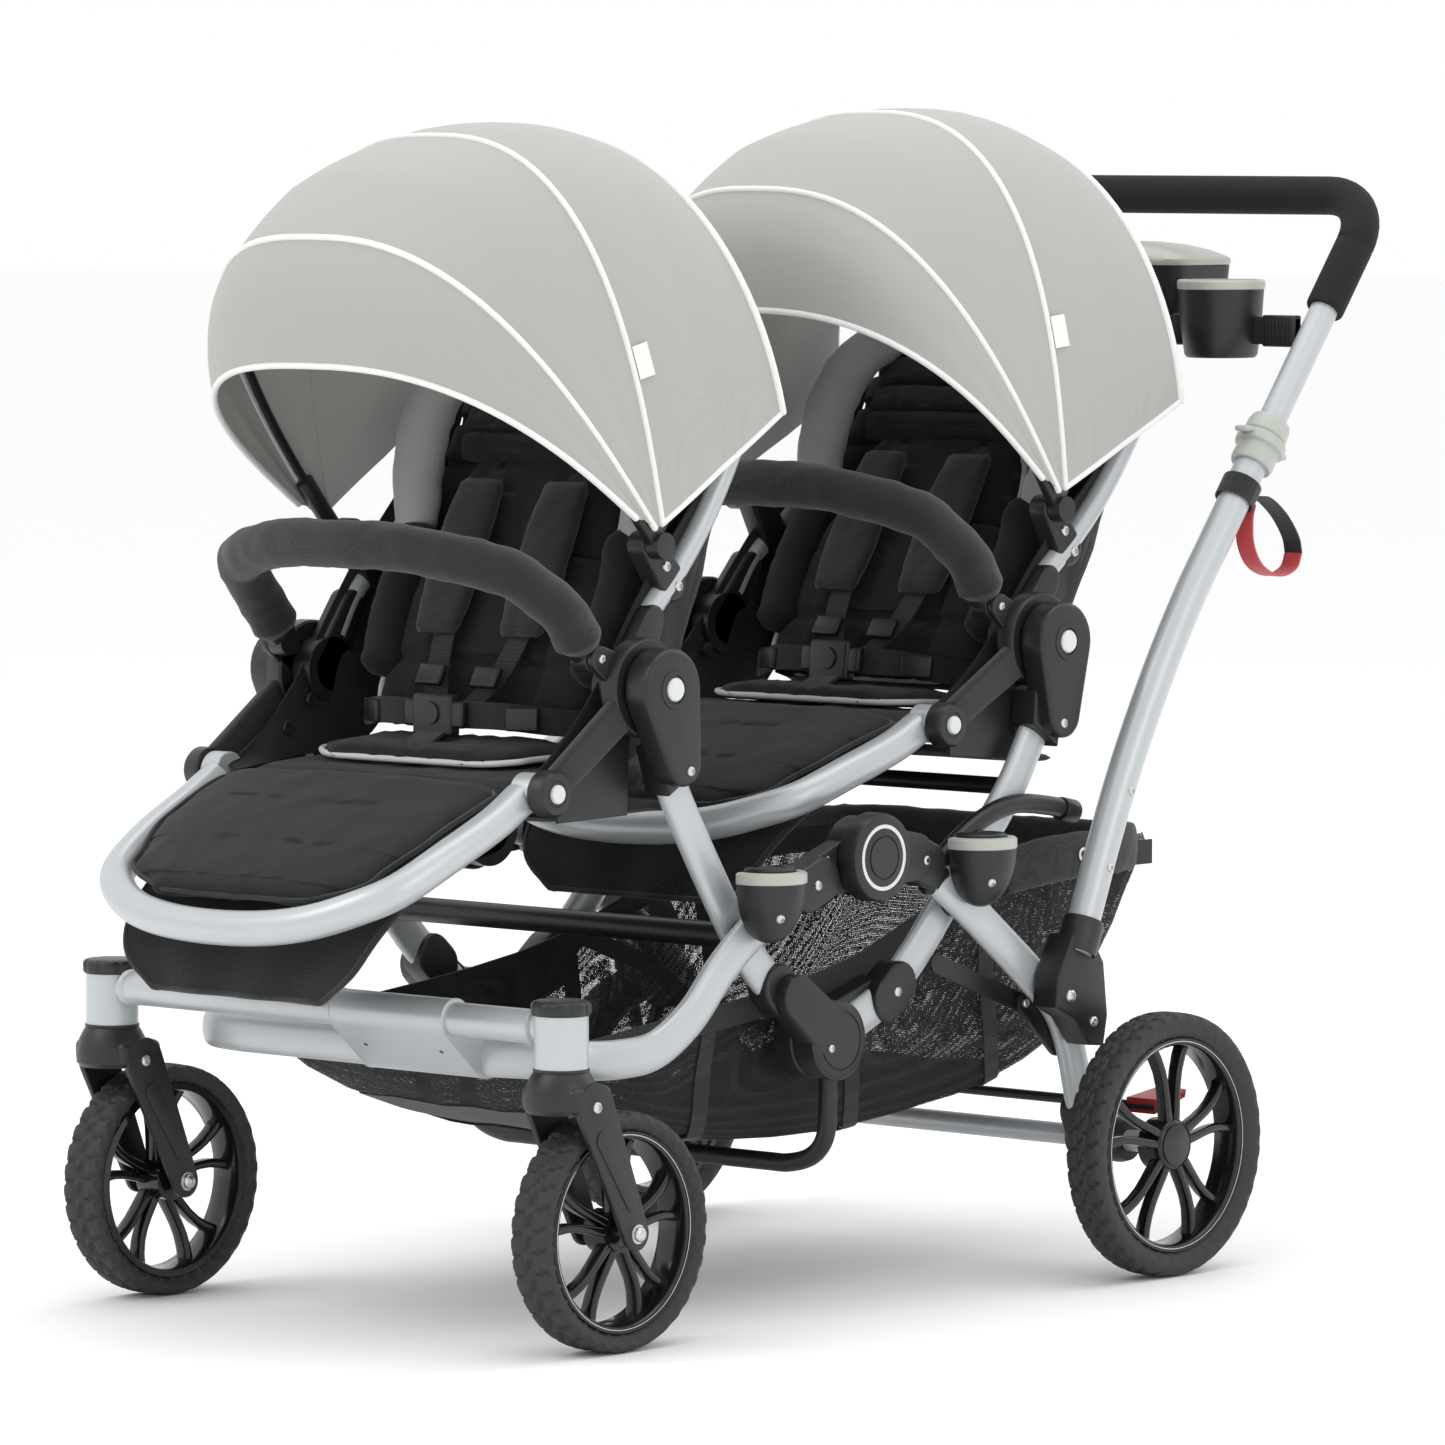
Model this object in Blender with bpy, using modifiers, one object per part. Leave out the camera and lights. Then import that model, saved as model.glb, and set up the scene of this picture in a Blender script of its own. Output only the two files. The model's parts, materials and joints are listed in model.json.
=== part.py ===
"""Tandem double stroller: a scissor frame that carries two identical seats in line.

Metres, +Z up. The stroller faces -Y, its left side is +X, and it stands on Z = 0.
Pairs of numbers in the tables of joints and outlines are (y, z) in a side view.
"""

import math

import bmesh
import bpy
from mathutils import Matrix, Vector

# ---------------------------------------------------------------- driving dimensions
GAP = 0.0003  # between pieces that touch
RUN = 0.0008  # between pieces that turn or slide against each other

FRONT_WHEEL_RADIUS = 0.105
FRONT_TYRE_WIDTH = 0.044
FRONT_TYRE_DEPTH = 0.016
FRONT_HALF_TRACK = 0.277
REAR_WHEEL_RADIUS = 0.122
REAR_TYRE_WIDTH = 0.040
REAR_TYRE_DEPTH = 0.022
REAR_HALF_TRACK = 0.323
WHEELBASE = 0.7035
CASTER_TRAIL = 0.061
RIM_WALL = 0.008
SPOKE_PAIRS = 5

OVAL_HEIGHT = 0.035  # leg and support tubes are flattened
OVAL_WIDTH = 0.018
LEG_PLANE = 0.236  # x of the leg tubes' centre
SUPPORT_PLANE = 0.214  # x of the seat support tubes' centre
CROSSBAR_RADIUS = 0.015
CROSSBAR_HEIGHT = 0.285
CASTER_TUBE_RADIUS = 0.0237
CASTER_TUBE_BOTTOM = 0.250
CASTER_TUBE_TOP = 0.303
CASTER_STEM_RADIUS = 0.009

TOP_HUB = (0.378, 0.404)
LOWER_HUB = (0.346, 0.240)
FRONT_CROSSING = (0.230, 0.341)
REAR_CROSSING = (0.518, 0.354)
HUB_RADIUS = 0.040
LOWER_HUB_RADIUS = 0.036
HANDLE_PIVOT = (0.622, 0.262)
REAR_AXLE = (WHEELBASE, REAR_WHEEL_RADIUS)
AXLE_RADIUS = 0.010

SEAT_HUBS = {"front": ((0.118, 0.567), 0.0), "rear": ((0.655, 0.585), 6.5)}  # place, lean back
SEAT_HUB_RADIUS = 0.044
RAIL_PLANE = 0.190
SEAT_HALF_WIDTH = 0.165
FOOT_JOINT = (-0.124, -0.086)  # from the seat's hub
FOOT_TUBE_RADIUS = 0.0155
BUMPER_JOINT = (-0.049, 0.027)
CANOPY_JOINT = (0.030, 0.123)
HOOP_ANGLE = 130.5
HOOP_RADIUS = 0.345
RIDGE_ANGLE = 102.5
RIDGE_RADIUS = 0.367
CANOPY_HALF_WIDTH = 0.207
CANOPY_WALL = 0.004
BUTTON_RADIUS = 0.0105
BUTTON_TRAVEL = 0.003

PUSH_PLANE = 0.268
PUSH_RADIUS = 0.0155
HANDLE_RADIUS = 0.0135
GRIP_RADIUS = 0.0185
COLLAR = (0.915, 0.765)  # where the upper handle enters the lower tubes
HANDLE_SLOPE = 52.5  # degrees
HANDLE_REACH = 0.285  # along the slope, from the collar to the grip bar
HANDLE_STUB = 0.110
HANDLE_TRAVEL = 0.040
HANDLE_SIDES = 16  # of the round tubes that telescope

BASKET_HALF_WIDTH = 0.178
BASKET_WALL = 0.003

BRAKE_ROD = (REAR_AXLE[0] + 0.0325, REAR_AXLE[1] + 0.028)
BRAKE_ROD_RADIUS = 0.005
BRAKE_HOLDER_SPAN = (LEG_PLANE - 0.014, LEG_PLANE - 0.006)

FRONT_AXLE = (0.0, FRONT_WHEEL_RADIUS)
CASTER_Y = -CASTER_TRAIL
SIDES = (("left", 1.0), ("right", -1.0))
ROUND_SIDES = 16
WHEEL_SIDES = 24

# ---------------------------------------------------------------- scene and materials


def clear_scene():
    for obj in list(bpy.data.objects):
        bpy.data.objects.remove(obj, do_unlink=True)


def new_collection(name):
    made = bpy.data.collections.new(name)
    bpy.context.scene.collection.children.link(made)
    return made


def new_material(name, colour, roughness, metallic=0.0):
    made = bpy.data.materials.new(name)
    made.use_nodes = True
    shader = made.node_tree.nodes["Principled BSDF"]
    shader.inputs["Base Color"].default_value = (*colour, 1.0)
    shader.inputs["Roughness"].default_value = roughness
    shader.inputs["Metallic"].default_value = metallic
    return made


clear_scene()
PARTS = new_collection("tandem_stroller")

FRAME_PAINT = new_material("silver_paint", (0.58, 0.61, 0.62), 0.38, 0.3)
BLACK_PAINT = new_material("black_paint", (0.015, 0.015, 0.016), 0.35)
PLASTIC = new_material("black_plastic", (0.022, 0.023, 0.024), 0.45)
GLOSS_PLASTIC = new_material("rim_plastic", (0.01, 0.01, 0.011), 0.15)
GREY_PLASTIC = new_material("grey_plastic", (0.6, 0.61, 0.57), 0.4)
RUBBER = new_material("tyre_rubber", (0.03, 0.032, 0.033), 0.8)
FOAM = new_material("grip_foam", (0.022, 0.022, 0.023), 0.9)
SEAT_FABRIC = new_material("black_fabric", (0.008, 0.008, 0.009), 0.9)
CANOPY_FABRIC = new_material("grey_fabric", (0.6, 0.59, 0.57), 0.85)
MESH_FABRIC = new_material("black_mesh", (0.01, 0.01, 0.01), 0.9)
RED_PLASTIC = new_material("red_plastic", (0.5, 0.02, 0.02), 0.4)

# ---------------------------------------------------------------- shape helpers


def add_object(name, data, material):
    obj = bpy.data.objects.new(name, data)
    data.materials.clear()
    data.materials.append(material)
    PARTS.objects.link(obj)
    return obj


def mesh_object(name, bm, material):
    bmesh.ops.recalc_face_normals(bm, faces=bm.faces)
    data = bpy.data.meshes.new(name)
    bm.to_mesh(data)
    bm.free()
    return add_object(name, data, material)


def as_mesh(obj):
    """The object as its modifiers and bevels leave it, welded, in place of the original."""
    bpy.context.view_layer.update()
    graph = bpy.context.evaluated_depsgraph_get()
    data = bpy.data.meshes.new_from_object(obj.evaluated_get(graph))
    bm = bmesh.new()
    bm.from_mesh(data)
    bmesh.ops.remove_doubles(bm, verts=bm.verts, dist=1e-5)
    bmesh.ops.recalc_face_normals(bm, faces=bm.faces)
    bm.to_mesh(data)
    bm.free()
    name = obj.name
    made = bpy.data.objects.new(name + "_mesh", data)
    made.matrix_world = obj.matrix_world.copy()
    PARTS.objects.link(made)
    bpy.data.objects.remove(obj, do_unlink=True)
    made.name = name
    return made


def boolean(target, others, operation):
    for other in others:
        modifier = target.modifiers.new(operation.lower(), "BOOLEAN")
        modifier.operation = operation
        modifier.solver = "EXACT"
        modifier.object = other
    made = as_mesh(target)
    for other in others:
        bpy.data.objects.remove(other, do_unlink=True)
    return made


def fuse(name, pieces, material):
    """One solid from pieces that overlap."""
    made = boolean(pieces[0], pieces[1:], "UNION")
    made.name = name
    made.data.name = name
    made.data.materials.clear()
    made.data.materials.append(material)
    return made


def cut(target, cutters):
    name = target.name
    made = boolean(target, cutters, "DIFFERENCE")
    made.name = name
    return made


def settle(obj, pivot, parent=None):
    """Puts the object's origin on its joint and shades it smooth where it is round."""
    obj.data.transform(Matrix.Translation(-Vector(pivot)))
    obj.location = pivot
    obj.parent = parent
    if obj.type == "MESH":
        obj.data.shade_smooth()
        obj.data.set_sharp_from_angle(angle=math.radians(35))
    return obj


def empty(name, place, lean=0.0, parent=None):
    made = bpy.data.objects.new(name, None)
    made.empty_display_size = 0.03
    made.location = place
    made.rotation_euler = (-math.radians(lean), 0.0, 0.0)
    made.parent = parent
    PARTS.objects.link(made)
    return made


def cylinder(name, start, end, radius, material, sides=ROUND_SIDES, end_radius=None):
    start = Vector(start)
    along = Vector(end) - start
    bm = bmesh.new()
    bmesh.ops.create_cone(
        bm,
        cap_ends=True,
        segments=sides,
        radius1=radius,
        radius2=radius if end_radius is None else end_radius,
        depth=along.length,
    )
    turn = Vector((0.0, 0.0, 1.0)).rotation_difference(along.normalized()).to_matrix().to_4x4()
    bmesh.ops.transform(bm, matrix=Matrix.Translation(start + along / 2) @ turn, verts=bm.verts)
    return mesh_object(name, bm, material)


def disc(name, x_range, place, radius, material, sides=ROUND_SIDES, end_radius=None):
    """A cylinder along X; place is its (y, z)."""
    start = (x_range[0], *place)
    return cylinder(name, start, (x_range[1], *place), radius, material, sides, end_radius)


def box(name, low, high, material):
    bm = bmesh.new()
    bmesh.ops.create_cube(bm, size=1.0)
    size = [h - l for l, h in zip(low, high)]
    middle = [(h + l) / 2 for l, h in zip(low, high)]
    bmesh.ops.scale(bm, vec=size, verts=bm.verts)
    bmesh.ops.translate(bm, vec=middle, verts=bm.verts)
    return mesh_object(name, bm, material)


def plate(name, outline, x_range, material):
    """A side-view outline of (y, z) points, extruded along X."""
    bm = bmesh.new()
    near = [bm.verts.new((x_range[0], y, z)) for y, z in outline]
    far = [bm.verts.new((x_range[1], y, z)) for y, z in outline]
    bm.faces.new(near)
    bm.faces.new(far)
    for i in range(len(outline)):
        j = (i + 1) % len(outline)
        bm.faces.new((near[i], near[j], far[j], far[i]))
    return mesh_object(name, bm, material)


def arc(centre, radius, start, end, steps):
    """Points of an arc in the side view, angles in degrees from +Y."""
    angles = [math.radians(start + (end - start) * i / steps) for i in range(steps + 1)]
    return [(centre[0] + radius * math.cos(a), centre[1] + radius * math.sin(a)) for a in angles]


def strap_outline(a, a_radius, b, b_radius, steps=6):
    """The outline of a flat link with a round end about each of two points."""
    heading = math.degrees(math.atan2(b[1] - a[1], b[0] - a[0]))
    distance = math.dist(a, b)
    lean = math.degrees(math.asin((a_radius - b_radius) / distance))
    top, bottom = heading + 90 - lean, heading + 270 + lean
    return arc(a, a_radius, top, bottom, steps) + arc(b, b_radius, bottom, top + 360, steps)


def in_plane(x, places):
    return [(x, y, z) for y, z in places]


def mirrored(half):
    """A whole path from its left half, which ends on the middle plane."""
    return list(half) + [(-p[0], p[1], p[2]) for p in reversed(half[:-1])]


def tube(name, path, radius, material, sides=8, radii=None):
    data = bpy.data.curves.new(name, "CURVE")
    data.dimensions = "3D"
    data.bevel_depth = radius
    data.bevel_resolution = sides // 2 - 2
    data.use_fill_caps = True
    line = data.splines.new("POLY")
    line.points.add(len(path) - 1)
    for i, place in enumerate(path):
        line.points[i].co = (*place, 1.0)
        line.points[i].radius = 1.0 if radii is None else radii[i]
    return as_mesh(add_object(name, data, material))


def oval_tube(name, path, material, grow=0.0, sides=8):
    """A flattened tube, OVAL_HEIGHT tall and OVAL_WIDTH thick, along a path."""
    profile = bpy.data.curves.new(name + "_section", "CURVE")
    profile.dimensions = "2D"
    ring = profile.splines.new("POLY")
    ring.points.add(sides - 1)
    for i in range(sides):
        a = 2 * math.pi * (i + 0.5) / sides
        across = (OVAL_WIDTH / 2 + grow) * math.cos(a)
        ring.points[i].co = (across, (OVAL_HEIGHT / 2 + grow) * math.sin(a), 0.0, 1.0)
    ring.use_cyclic_u = True
    section = bpy.data.objects.new(name + "_section", profile)
    PARTS.objects.link(section)
    data = bpy.data.curves.new(name, "CURVE")
    data.dimensions = "3D"
    data.twist_mode = "Z_UP"
    data.bevel_mode = "OBJECT"
    data.bevel_object = section
    data.use_fill_caps = True
    line = data.splines.new("POLY")
    line.points.add(len(path) - 1)
    for i, place in enumerate(path):
        line.points[i].co = (*place, 1.0)
    made = as_mesh(add_object(name, data, material))
    bpy.data.objects.remove(section, do_unlink=True)
    return made


def turned(name, profile, x_centre, place, side, material, steps=WHEEL_SIDES):
    """A ring about the X axis: profile is (radius, offset along X) from inside to outside.

    Each radius is that of the flats between the corners, and a flat faces straight down.
    """
    bm = bmesh.new()
    half_step = math.pi / steps
    verts = []
    for radius, offset in profile:
        verts.append(bm.verts.new((offset * side, radius * math.tan(half_step), radius)))
    for i in range(len(verts)):
        bm.edges.new((verts[i], verts[(i + 1) % len(verts)]))
    bmesh.ops.spin(
        bm,
        geom=bm.verts[:] + bm.edges[:],
        cent=(0, 0, 0),
        axis=(1, 0, 0),
        angle=2 * math.pi,
        steps=steps,
        use_merge=True,
    )
    bmesh.ops.remove_doubles(bm, verts=bm.verts, dist=1e-6)
    bmesh.ops.translate(bm, vec=(x_centre, *place), verts=bm.verts)
    return mesh_object(name, bm, material)


# ---------------------------------------------------------------- wheels and casters


def rim(name, x, place, side, seat_radius, width, hub_radius, bore, capped):
    """A ring, a hub and pairs of spokes; the bore is blind where a cap closes it."""
    inner = seat_radius - RIM_WALL
    half = width / 2
    ring_profile = [(inner, -half), (seat_radius, -half), (seat_radius, half), (inner, half)]
    pieces = [turned(name, ring_profile, x, place, side, GLOSS_PLASTIC)]
    pieces.append(disc("hub", (x - 0.9 * half, x + 0.9 * half), place, hub_radius, GLOSS_PLASTIC))
    for pair in range(SPOKE_PAIRS):
        for lean in (-1, 1):
            angle = 2 * math.pi * pair / SPOKE_PAIRS
            pieces.append(spoke(x, place, angle, lean, hub_radius, inner, half))
    made = fuse(name, pieces, GLOSS_PLASTIC)
    bore_end = x + side * (0.9 * half + 0.002) * (0.5 if capped else 1.0)
    hole = disc("bore", (x - side * half, bore_end), place, bore, GLOSS_PLASTIC, 16)
    return cut(made, [hole])


def spoke(x, place, angle, lean, hub_radius, inner, half):
    """One arm of a V: the pair stands close together on the hub and wide apart at the ring."""
    root = hub_radius * 0.6
    tip = inner + RIM_WALL / 2
    a, b = angle + lean * 0.20, angle + lean * 0.23
    start = Vector((0, root * math.cos(a), root * math.sin(a)))
    end = Vector((0, tip * math.cos(b), tip * math.sin(b)))
    along = end - start
    bm = bmesh.new()
    bmesh.ops.create_cube(bm, size=1.0)
    bmesh.ops.scale(bm, vec=(half * 0.9, along.length, 0.008), verts=bm.verts)
    turn = Matrix.Rotation(math.atan2(along.z, along.y), 4, "X")
    middle = Vector((x, *place)) + (start + end) / 2
    bmesh.ops.transform(bm, matrix=Matrix.Translation(middle) @ turn, verts=bm.verts)
    return mesh_object("spoke", bm, GLOSS_PLASTIC)


def tyre(name, x, place, side, radius, width, depth):
    inner = radius - depth + GAP
    half = width / 2
    shoulder = 0.35 * depth
    profile = [
        (inner, -half * 0.8),
        (radius - shoulder, -half),
        (radius, -half * 0.45),
        (radius, half * 0.45),
        (radius - shoulder, half),
        (inner, half * 0.8),
    ]
    return turned(name, profile, x, place, side, RUBBER)


def wheel(end, side_name, side):
    front = end == "front"
    x = side * (FRONT_HALF_TRACK if front else REAR_HALF_TRACK)
    place = FRONT_AXLE if front else REAR_AXLE
    radius = FRONT_WHEEL_RADIUS if front else REAR_WHEEL_RADIUS
    width = FRONT_TYRE_WIDTH if front else REAR_TYRE_WIDTH
    depth = FRONT_TYRE_DEPTH if front else REAR_TYRE_DEPTH
    bore = (FRONT_PIN_RADIUS if front else AXLE_RADIUS) + RUN
    hub = 0.019 if front else 0.024
    rim_name = f"{end}_rim_{side_name}"
    tyre_name = f"{end}_tyre_{side_name}"
    seat = radius - depth
    made_rim = rim(rim_name, x, place, side, seat, width * 0.8, hub, bore, not front)
    made_tyre = tyre(tyre_name, x, place, side, radius, width, depth)
    settle(made_rim, (x, *place))
    settle(made_tyre, (x, *place))


FRONT_PIN_RADIUS = 0.004
FORK_PLATE = 0.006
FORK_INSIDE = FRONT_TYRE_WIDTH / 2 + 0.005  # half the gap between the fork's legs


def fork(side_name, side):
    """Crown, two legs, wheel pin with its nuts, and the stem that turns in the caster tube."""
    x = side * FRONT_HALF_TRACK
    outside = FORK_INSIDE + FORK_PLATE
    crown_top = CASTER_TUBE_BOTTOM - RUN
    crown_low = 2 * FRONT_WHEEL_RADIUS + 0.004
    stem_top = CASTER_TUBE_BOTTOM + 0.036
    pieces = [
        box(
            "crown",
            (x - outside, CASTER_Y - 0.020, crown_low),
            (x + outside, CASTER_Y + 0.030, crown_top - 0.014),
            PLASTIC,
        )
    ]
    axis = (x, CASTER_Y)
    pieces.append(cylinder("dome", (*axis, crown_low), (*axis, crown_top), 0.032, PLASTIC, 16, 0.024))
    pieces.append(cylinder("stem", (*axis, crown_low), (*axis, stem_top), CASTER_STEM_RADIUS, PLASTIC, 12))
    shoulder = (CASTER_Y + 0.010, crown_low + 0.004)
    outline = strap_outline(shoulder, 0.022, FRONT_AXLE, 0.015)
    for way in (-1, 1):
        span = sorted((x + way * FORK_INSIDE, x + way * outside))
        pieces.append(plate("leg", outline, span, PLASTIC))
        nut = sorted((x + way * (outside - 0.001), x + way * (outside + 0.006)))
        pieces.append(disc("nut", nut, FRONT_AXLE, 0.0085, PLASTIC, 6))
    pin_half = outside + 0.004
    pieces.append(disc("pin", (x - pin_half, x + pin_half), FRONT_AXLE, FRONT_PIN_RADIUS, PLASTIC, 10))
    made = fuse(f"caster_fork_{side_name}", pieces, PLASTIC)
    settle(made, (x, CASTER_Y, CASTER_TUBE_BOTTOM))


def caster_crossbar():
    """The round bar between the casters, their tubes and screw caps, and the sleeve on the legs."""
    span = FRONT_HALF_TRACK
    bar = (CASTER_Y, CROSSBAR_HEIGHT)
    pieces = [disc("bar", (-span, span), bar, CROSSBAR_RADIUS, FRAME_PAINT, 16)]
    for _, side in SIDES:
        axis = (side * FRONT_HALF_TRACK, CASTER_Y)
        low, high = (*axis, CASTER_TUBE_BOTTOM), (*axis, CASTER_TUBE_TOP)
        pieces.append(cylinder("caster_tube", low, high, CASTER_TUBE_RADIUS, FRAME_PAINT))
        cap_low = (*axis, CASTER_TUBE_TOP - 0.004)
        cap_high = (*axis, CASTER_TUBE_TOP + 0.008)
        pieces.append(cylinder("cap", cap_low, cap_high, CASTER_TUBE_RADIUS + 0.0025, FRAME_PAINT, 16))
    sleeve = strap_outline(bar, CROSSBAR_RADIUS + 0.003, FRONT_LOOP, OVAL_HEIGHT / 2 + 0.002)
    pieces.append(plate("sleeve", sleeve, SLEEVE_SPAN, FRAME_PAINT))
    made = fuse("caster_crossbar", pieces, FRAME_PAINT)
    reach = (SLEEVE_SPAN[0] - 0.02, SLEEVE_SPAN[1] + 0.02)
    channel = oval_tube("channel", [(reach[0], *FRONT_LOOP), (reach[1], *FRONT_LOOP)], FRAME_PAINT, GAP * 2)
    slot = box("slot", (reach[0], FRONT_LOOP[0], 0.20), (reach[1], FRONT_LOOP[0] + 0.05, 0.30), FRAME_PAINT)
    holes = [channel, slot]
    for _, side in SIDES:
        axis = (side * FRONT_HALF_TRACK, CASTER_Y)
        low = (*axis, CASTER_TUBE_BOTTOM - 0.01)
        high = (*axis, CASTER_TUBE_BOTTOM + 0.040)
        holes.append(cylinder("stem_bore", low, high, CASTER_STEM_RADIUS + RUN, FRAME_PAINT, 16))
    made = cut(made, holes)
    settle(made, (0, *bar))


# ---------------------------------------------------------------- legs and hubs

FRONT_LOOP = (-0.021, 0.249)  # where the front legs' tube crosses behind the caster bar
SLEEVE_SPAN = (0.012, 0.152)
KNUCKLE_SPAN = (LEG_PLANE - 0.014, LEG_PLANE + 0.0055)
TOP_HUB_SPAN = (KNUCKLE_SPAN[1] + RUN / 2, LEG_PLANE + 0.028)

FRONT_LEG = [(0.332, 0.394), (0.290, 0.376), (0.235, 0.349), (0.190, 0.316), (0.150, 0.277)]
FRONT_LEG += [(0.105, 0.2515), (0.060, 0.2465)]
REAR_LEG = [(0.420, 0.405), (0.457, 0.393), (0.500, 0.366), (0.550, 0.329), (0.614, 0.280)]
REAR_LEG_FOOT = [(-0.0515, 0.125), (-0.0315, 0.086), (-0.0195, 0.043), (-0.0075, 0.006)]  # from the axle
REAR_LEG += [(REAR_AXLE[0] + y, REAR_AXLE[1] + z) for y, z in REAR_LEG_FOOT]
LEVER_ENDS = (  # place and radius, each beside a bend of the leg that carries the lever
    ((REAR_LEG[4][0] - 0.001, REAR_LEG[4][1] - 0.027), 0.009),
    ((REAR_LEG[5][0] + 0.010, REAR_LEG[5][1] - 0.035), 0.012),
)


def span_of(x_range, side):
    return tuple(sorted((side * x_range[0], side * x_range[1])))


def front_leg_frame():
    """One oval tube bent into both front legs, with a knuckle of each top hub on its ends."""
    half = in_plane(LEG_PLANE, FRONT_LEG)
    half += [(0.226, 0.018, 0.2475), (0.196, -0.010, 0.2490), (0.160, -0.0205, 0.2490)]
    half += [(0.150, *FRONT_LOOP), (0.0, *FRONT_LOOP)]
    pieces = [oval_tube("tube", mirrored(half), FRAME_PAINT)]
    for _, side in SIDES:
        span = span_of(KNUCKLE_SPAN, side)
        pieces.append(disc("knuckle", span, TOP_HUB, HUB_RADIUS - 0.004, PLASTIC))
        outline = strap_outline(TOP_HUB, 0.026, (0.318, 0.388), OVAL_HEIGHT / 2 + 0.003)
        pieces.append(plate("bracket", outline, span, PLASTIC))
        cheek = span_of((LEG_PLANE - 0.0125, LEG_PLANE + 0.0125), side)
        edge = OVAL_HEIGHT / 2 + 0.003
        outline = strap_outline((0.315, 0.387), edge, (0.296, 0.379), edge)
        pieces.append(plate("cheek", outline, cheek, PLASTIC))
    made = fuse("front_leg_frame", pieces, FRAME_PAINT)
    settle(made, (0, *TOP_HUB))


def top_hub(side):
    """The outer disc of a top hub, with the arm that grips the rear leg's upper end."""
    disc_piece = disc("disc", span_of(TOP_HUB_SPAN, side), TOP_HUB, HUB_RADIUS, PLASTIC, 20)
    outline = strap_outline(TOP_HUB, 0.030, (0.440, 0.400), OVAL_HEIGHT / 2 + 0.004)
    arm = span_of((TOP_HUB_SPAN[0], LEG_PLANE + 0.0145), side)
    return [disc_piece, plate("arm", outline, arm, PLASTIC)]


def rear_leg_frame():
    """Both rear legs, the axle between their feet, the top hubs and the bent braces above them."""
    axle_half = REAR_HALF_TRACK - 0.004
    pieces = [disc("axle", (-axle_half, axle_half), REAR_AXLE, AXLE_RADIUS, FRAME_PAINT, 16)]
    for _, side in SIDES:
        pieces.append(oval_tube("leg", in_plane(side * LEG_PLANE, REAR_LEG), FRAME_PAINT))
        foot = span_of((LEG_PLANE - 0.016, LEG_PLANE + 0.045), side)
        pieces.append(disc("foot", foot, REAR_AXLE, 0.021, PLASTIC))
        brace = [(0.478, 0.374), (0.512, 0.404), (0.550, 0.428), (0.592, 0.438), (0.640, 0.434), (0.672, 0.428)]
        pieces.append(tube("brace", in_plane(side * (LEG_PLANE - 0.0017), brace), 0.0088, BLACK_PAINT))
        lever = strap_outline(*LEVER_ENDS[0], *LEVER_ENDS[1])
        pieces.append(plate("lever", lever, span_of((LEG_PLANE - 0.0105, LEG_PLANE - 0.005), side), BLACK_PAINT))
        pieces.extend(top_hub(side))
        holder = strap_outline(REAR_AXLE, 0.014, BRAKE_ROD, BRAKE_ROD_RADIUS + 0.006)
        pieces.append(plate("holder", holder, span_of(BRAKE_HOLDER_SPAN, side), PLASTIC))
    made = fuse("rear_leg_frame", pieces, FRAME_PAINT)
    bores = []
    for _, side in SIDES:
        span = span_of((BRAKE_HOLDER_SPAN[0] - 0.01, BRAKE_HOLDER_SPAN[1] + 0.01), side)
        bores.append(disc("bore", span, BRAKE_ROD, BRAKE_ROD_RADIUS * 1.05 + RUN, PLASTIC, 12))
    made = cut(made, bores)
    settle(made, (0, *REAR_AXLE))


def crossing_cover(end, side_name, side):
    """A half bowl with a flat lid and a knob, bolted to the outer face of a leg at its crossing."""
    crossing = FRONT_CROSSING if end == "front" else REAR_CROSSING
    x = side * (LEG_PLANE + OVAL_WIDTH / 2 + 0.012)
    y = crossing[0]
    top = crossing[1] + 0.050
    bm = bmesh.new()
    bmesh.ops.create_uvsphere(bm, u_segments=16, v_segments=10, radius=1.0)
    bmesh.ops.scale(bm, vec=(0.033, 0.033, 0.054), verts=bm.verts)
    bmesh.ops.translate(bm, vec=(x, y, top), verts=bm.verts)
    bowl = mesh_object("bowl", bm, PLASTIC)
    lid_cut = box("above", (x - 0.1, y - 0.1, top), (x + 0.1, y + 0.1, top + 0.1), PLASTIC)
    bowl = cut(bowl, [lid_cut])
    lid = cylinder("lid", (x, y, top - 0.001), (x, y, top + 0.010), 0.0335, GREY_PLASTIC)
    knob = cylinder("knob", (x, y, top + 0.009), (x, y, top + 0.0145), 0.024, PLASTIC)
    made = fuse(f"{end}_crossing_cover_{side_name}", [bowl, lid, knob], PLASTIC)
    face = side * (LEG_PLANE + OVAL_WIDTH / 2 + GAP)
    inner = span_of((0.0, LEG_PLANE + OVAL_WIDTH / 2 + GAP), side)
    made = cut(made, [box("inside", (inner[0], y - 0.1, 0.2), (inner[1], y + 0.1, 0.6), PLASTIC)])
    settle(made, (face, *crossing))


# ---------------------------------------------------------------- seat supports

FRONT_SUPPORT = [(0.146, 0.482), (0.170, 0.441), (0.200, 0.393), (0.232, 0.345), (0.262, 0.310)]
FRONT_SUPPORT += [(0.292, 0.283), (0.315, 0.2645)]
REAR_SUPPORT = [(0.642, 0.498), (0.612, 0.452), (0.572, 0.407), (0.520, 0.353), (0.475, 0.306)]
REAR_SUPPORT += [(0.430, 0.270), (0.384, 0.249)]
WASHER_SPAN = (SUPPORT_PLANE + 0.006, LEG_PLANE - OVAL_WIDTH / 2 - RUN / 2)
DISC_SPLIT = SUPPORT_PLANE  # the front support's hub disc lies outside this plane, the rear's inside


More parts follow.
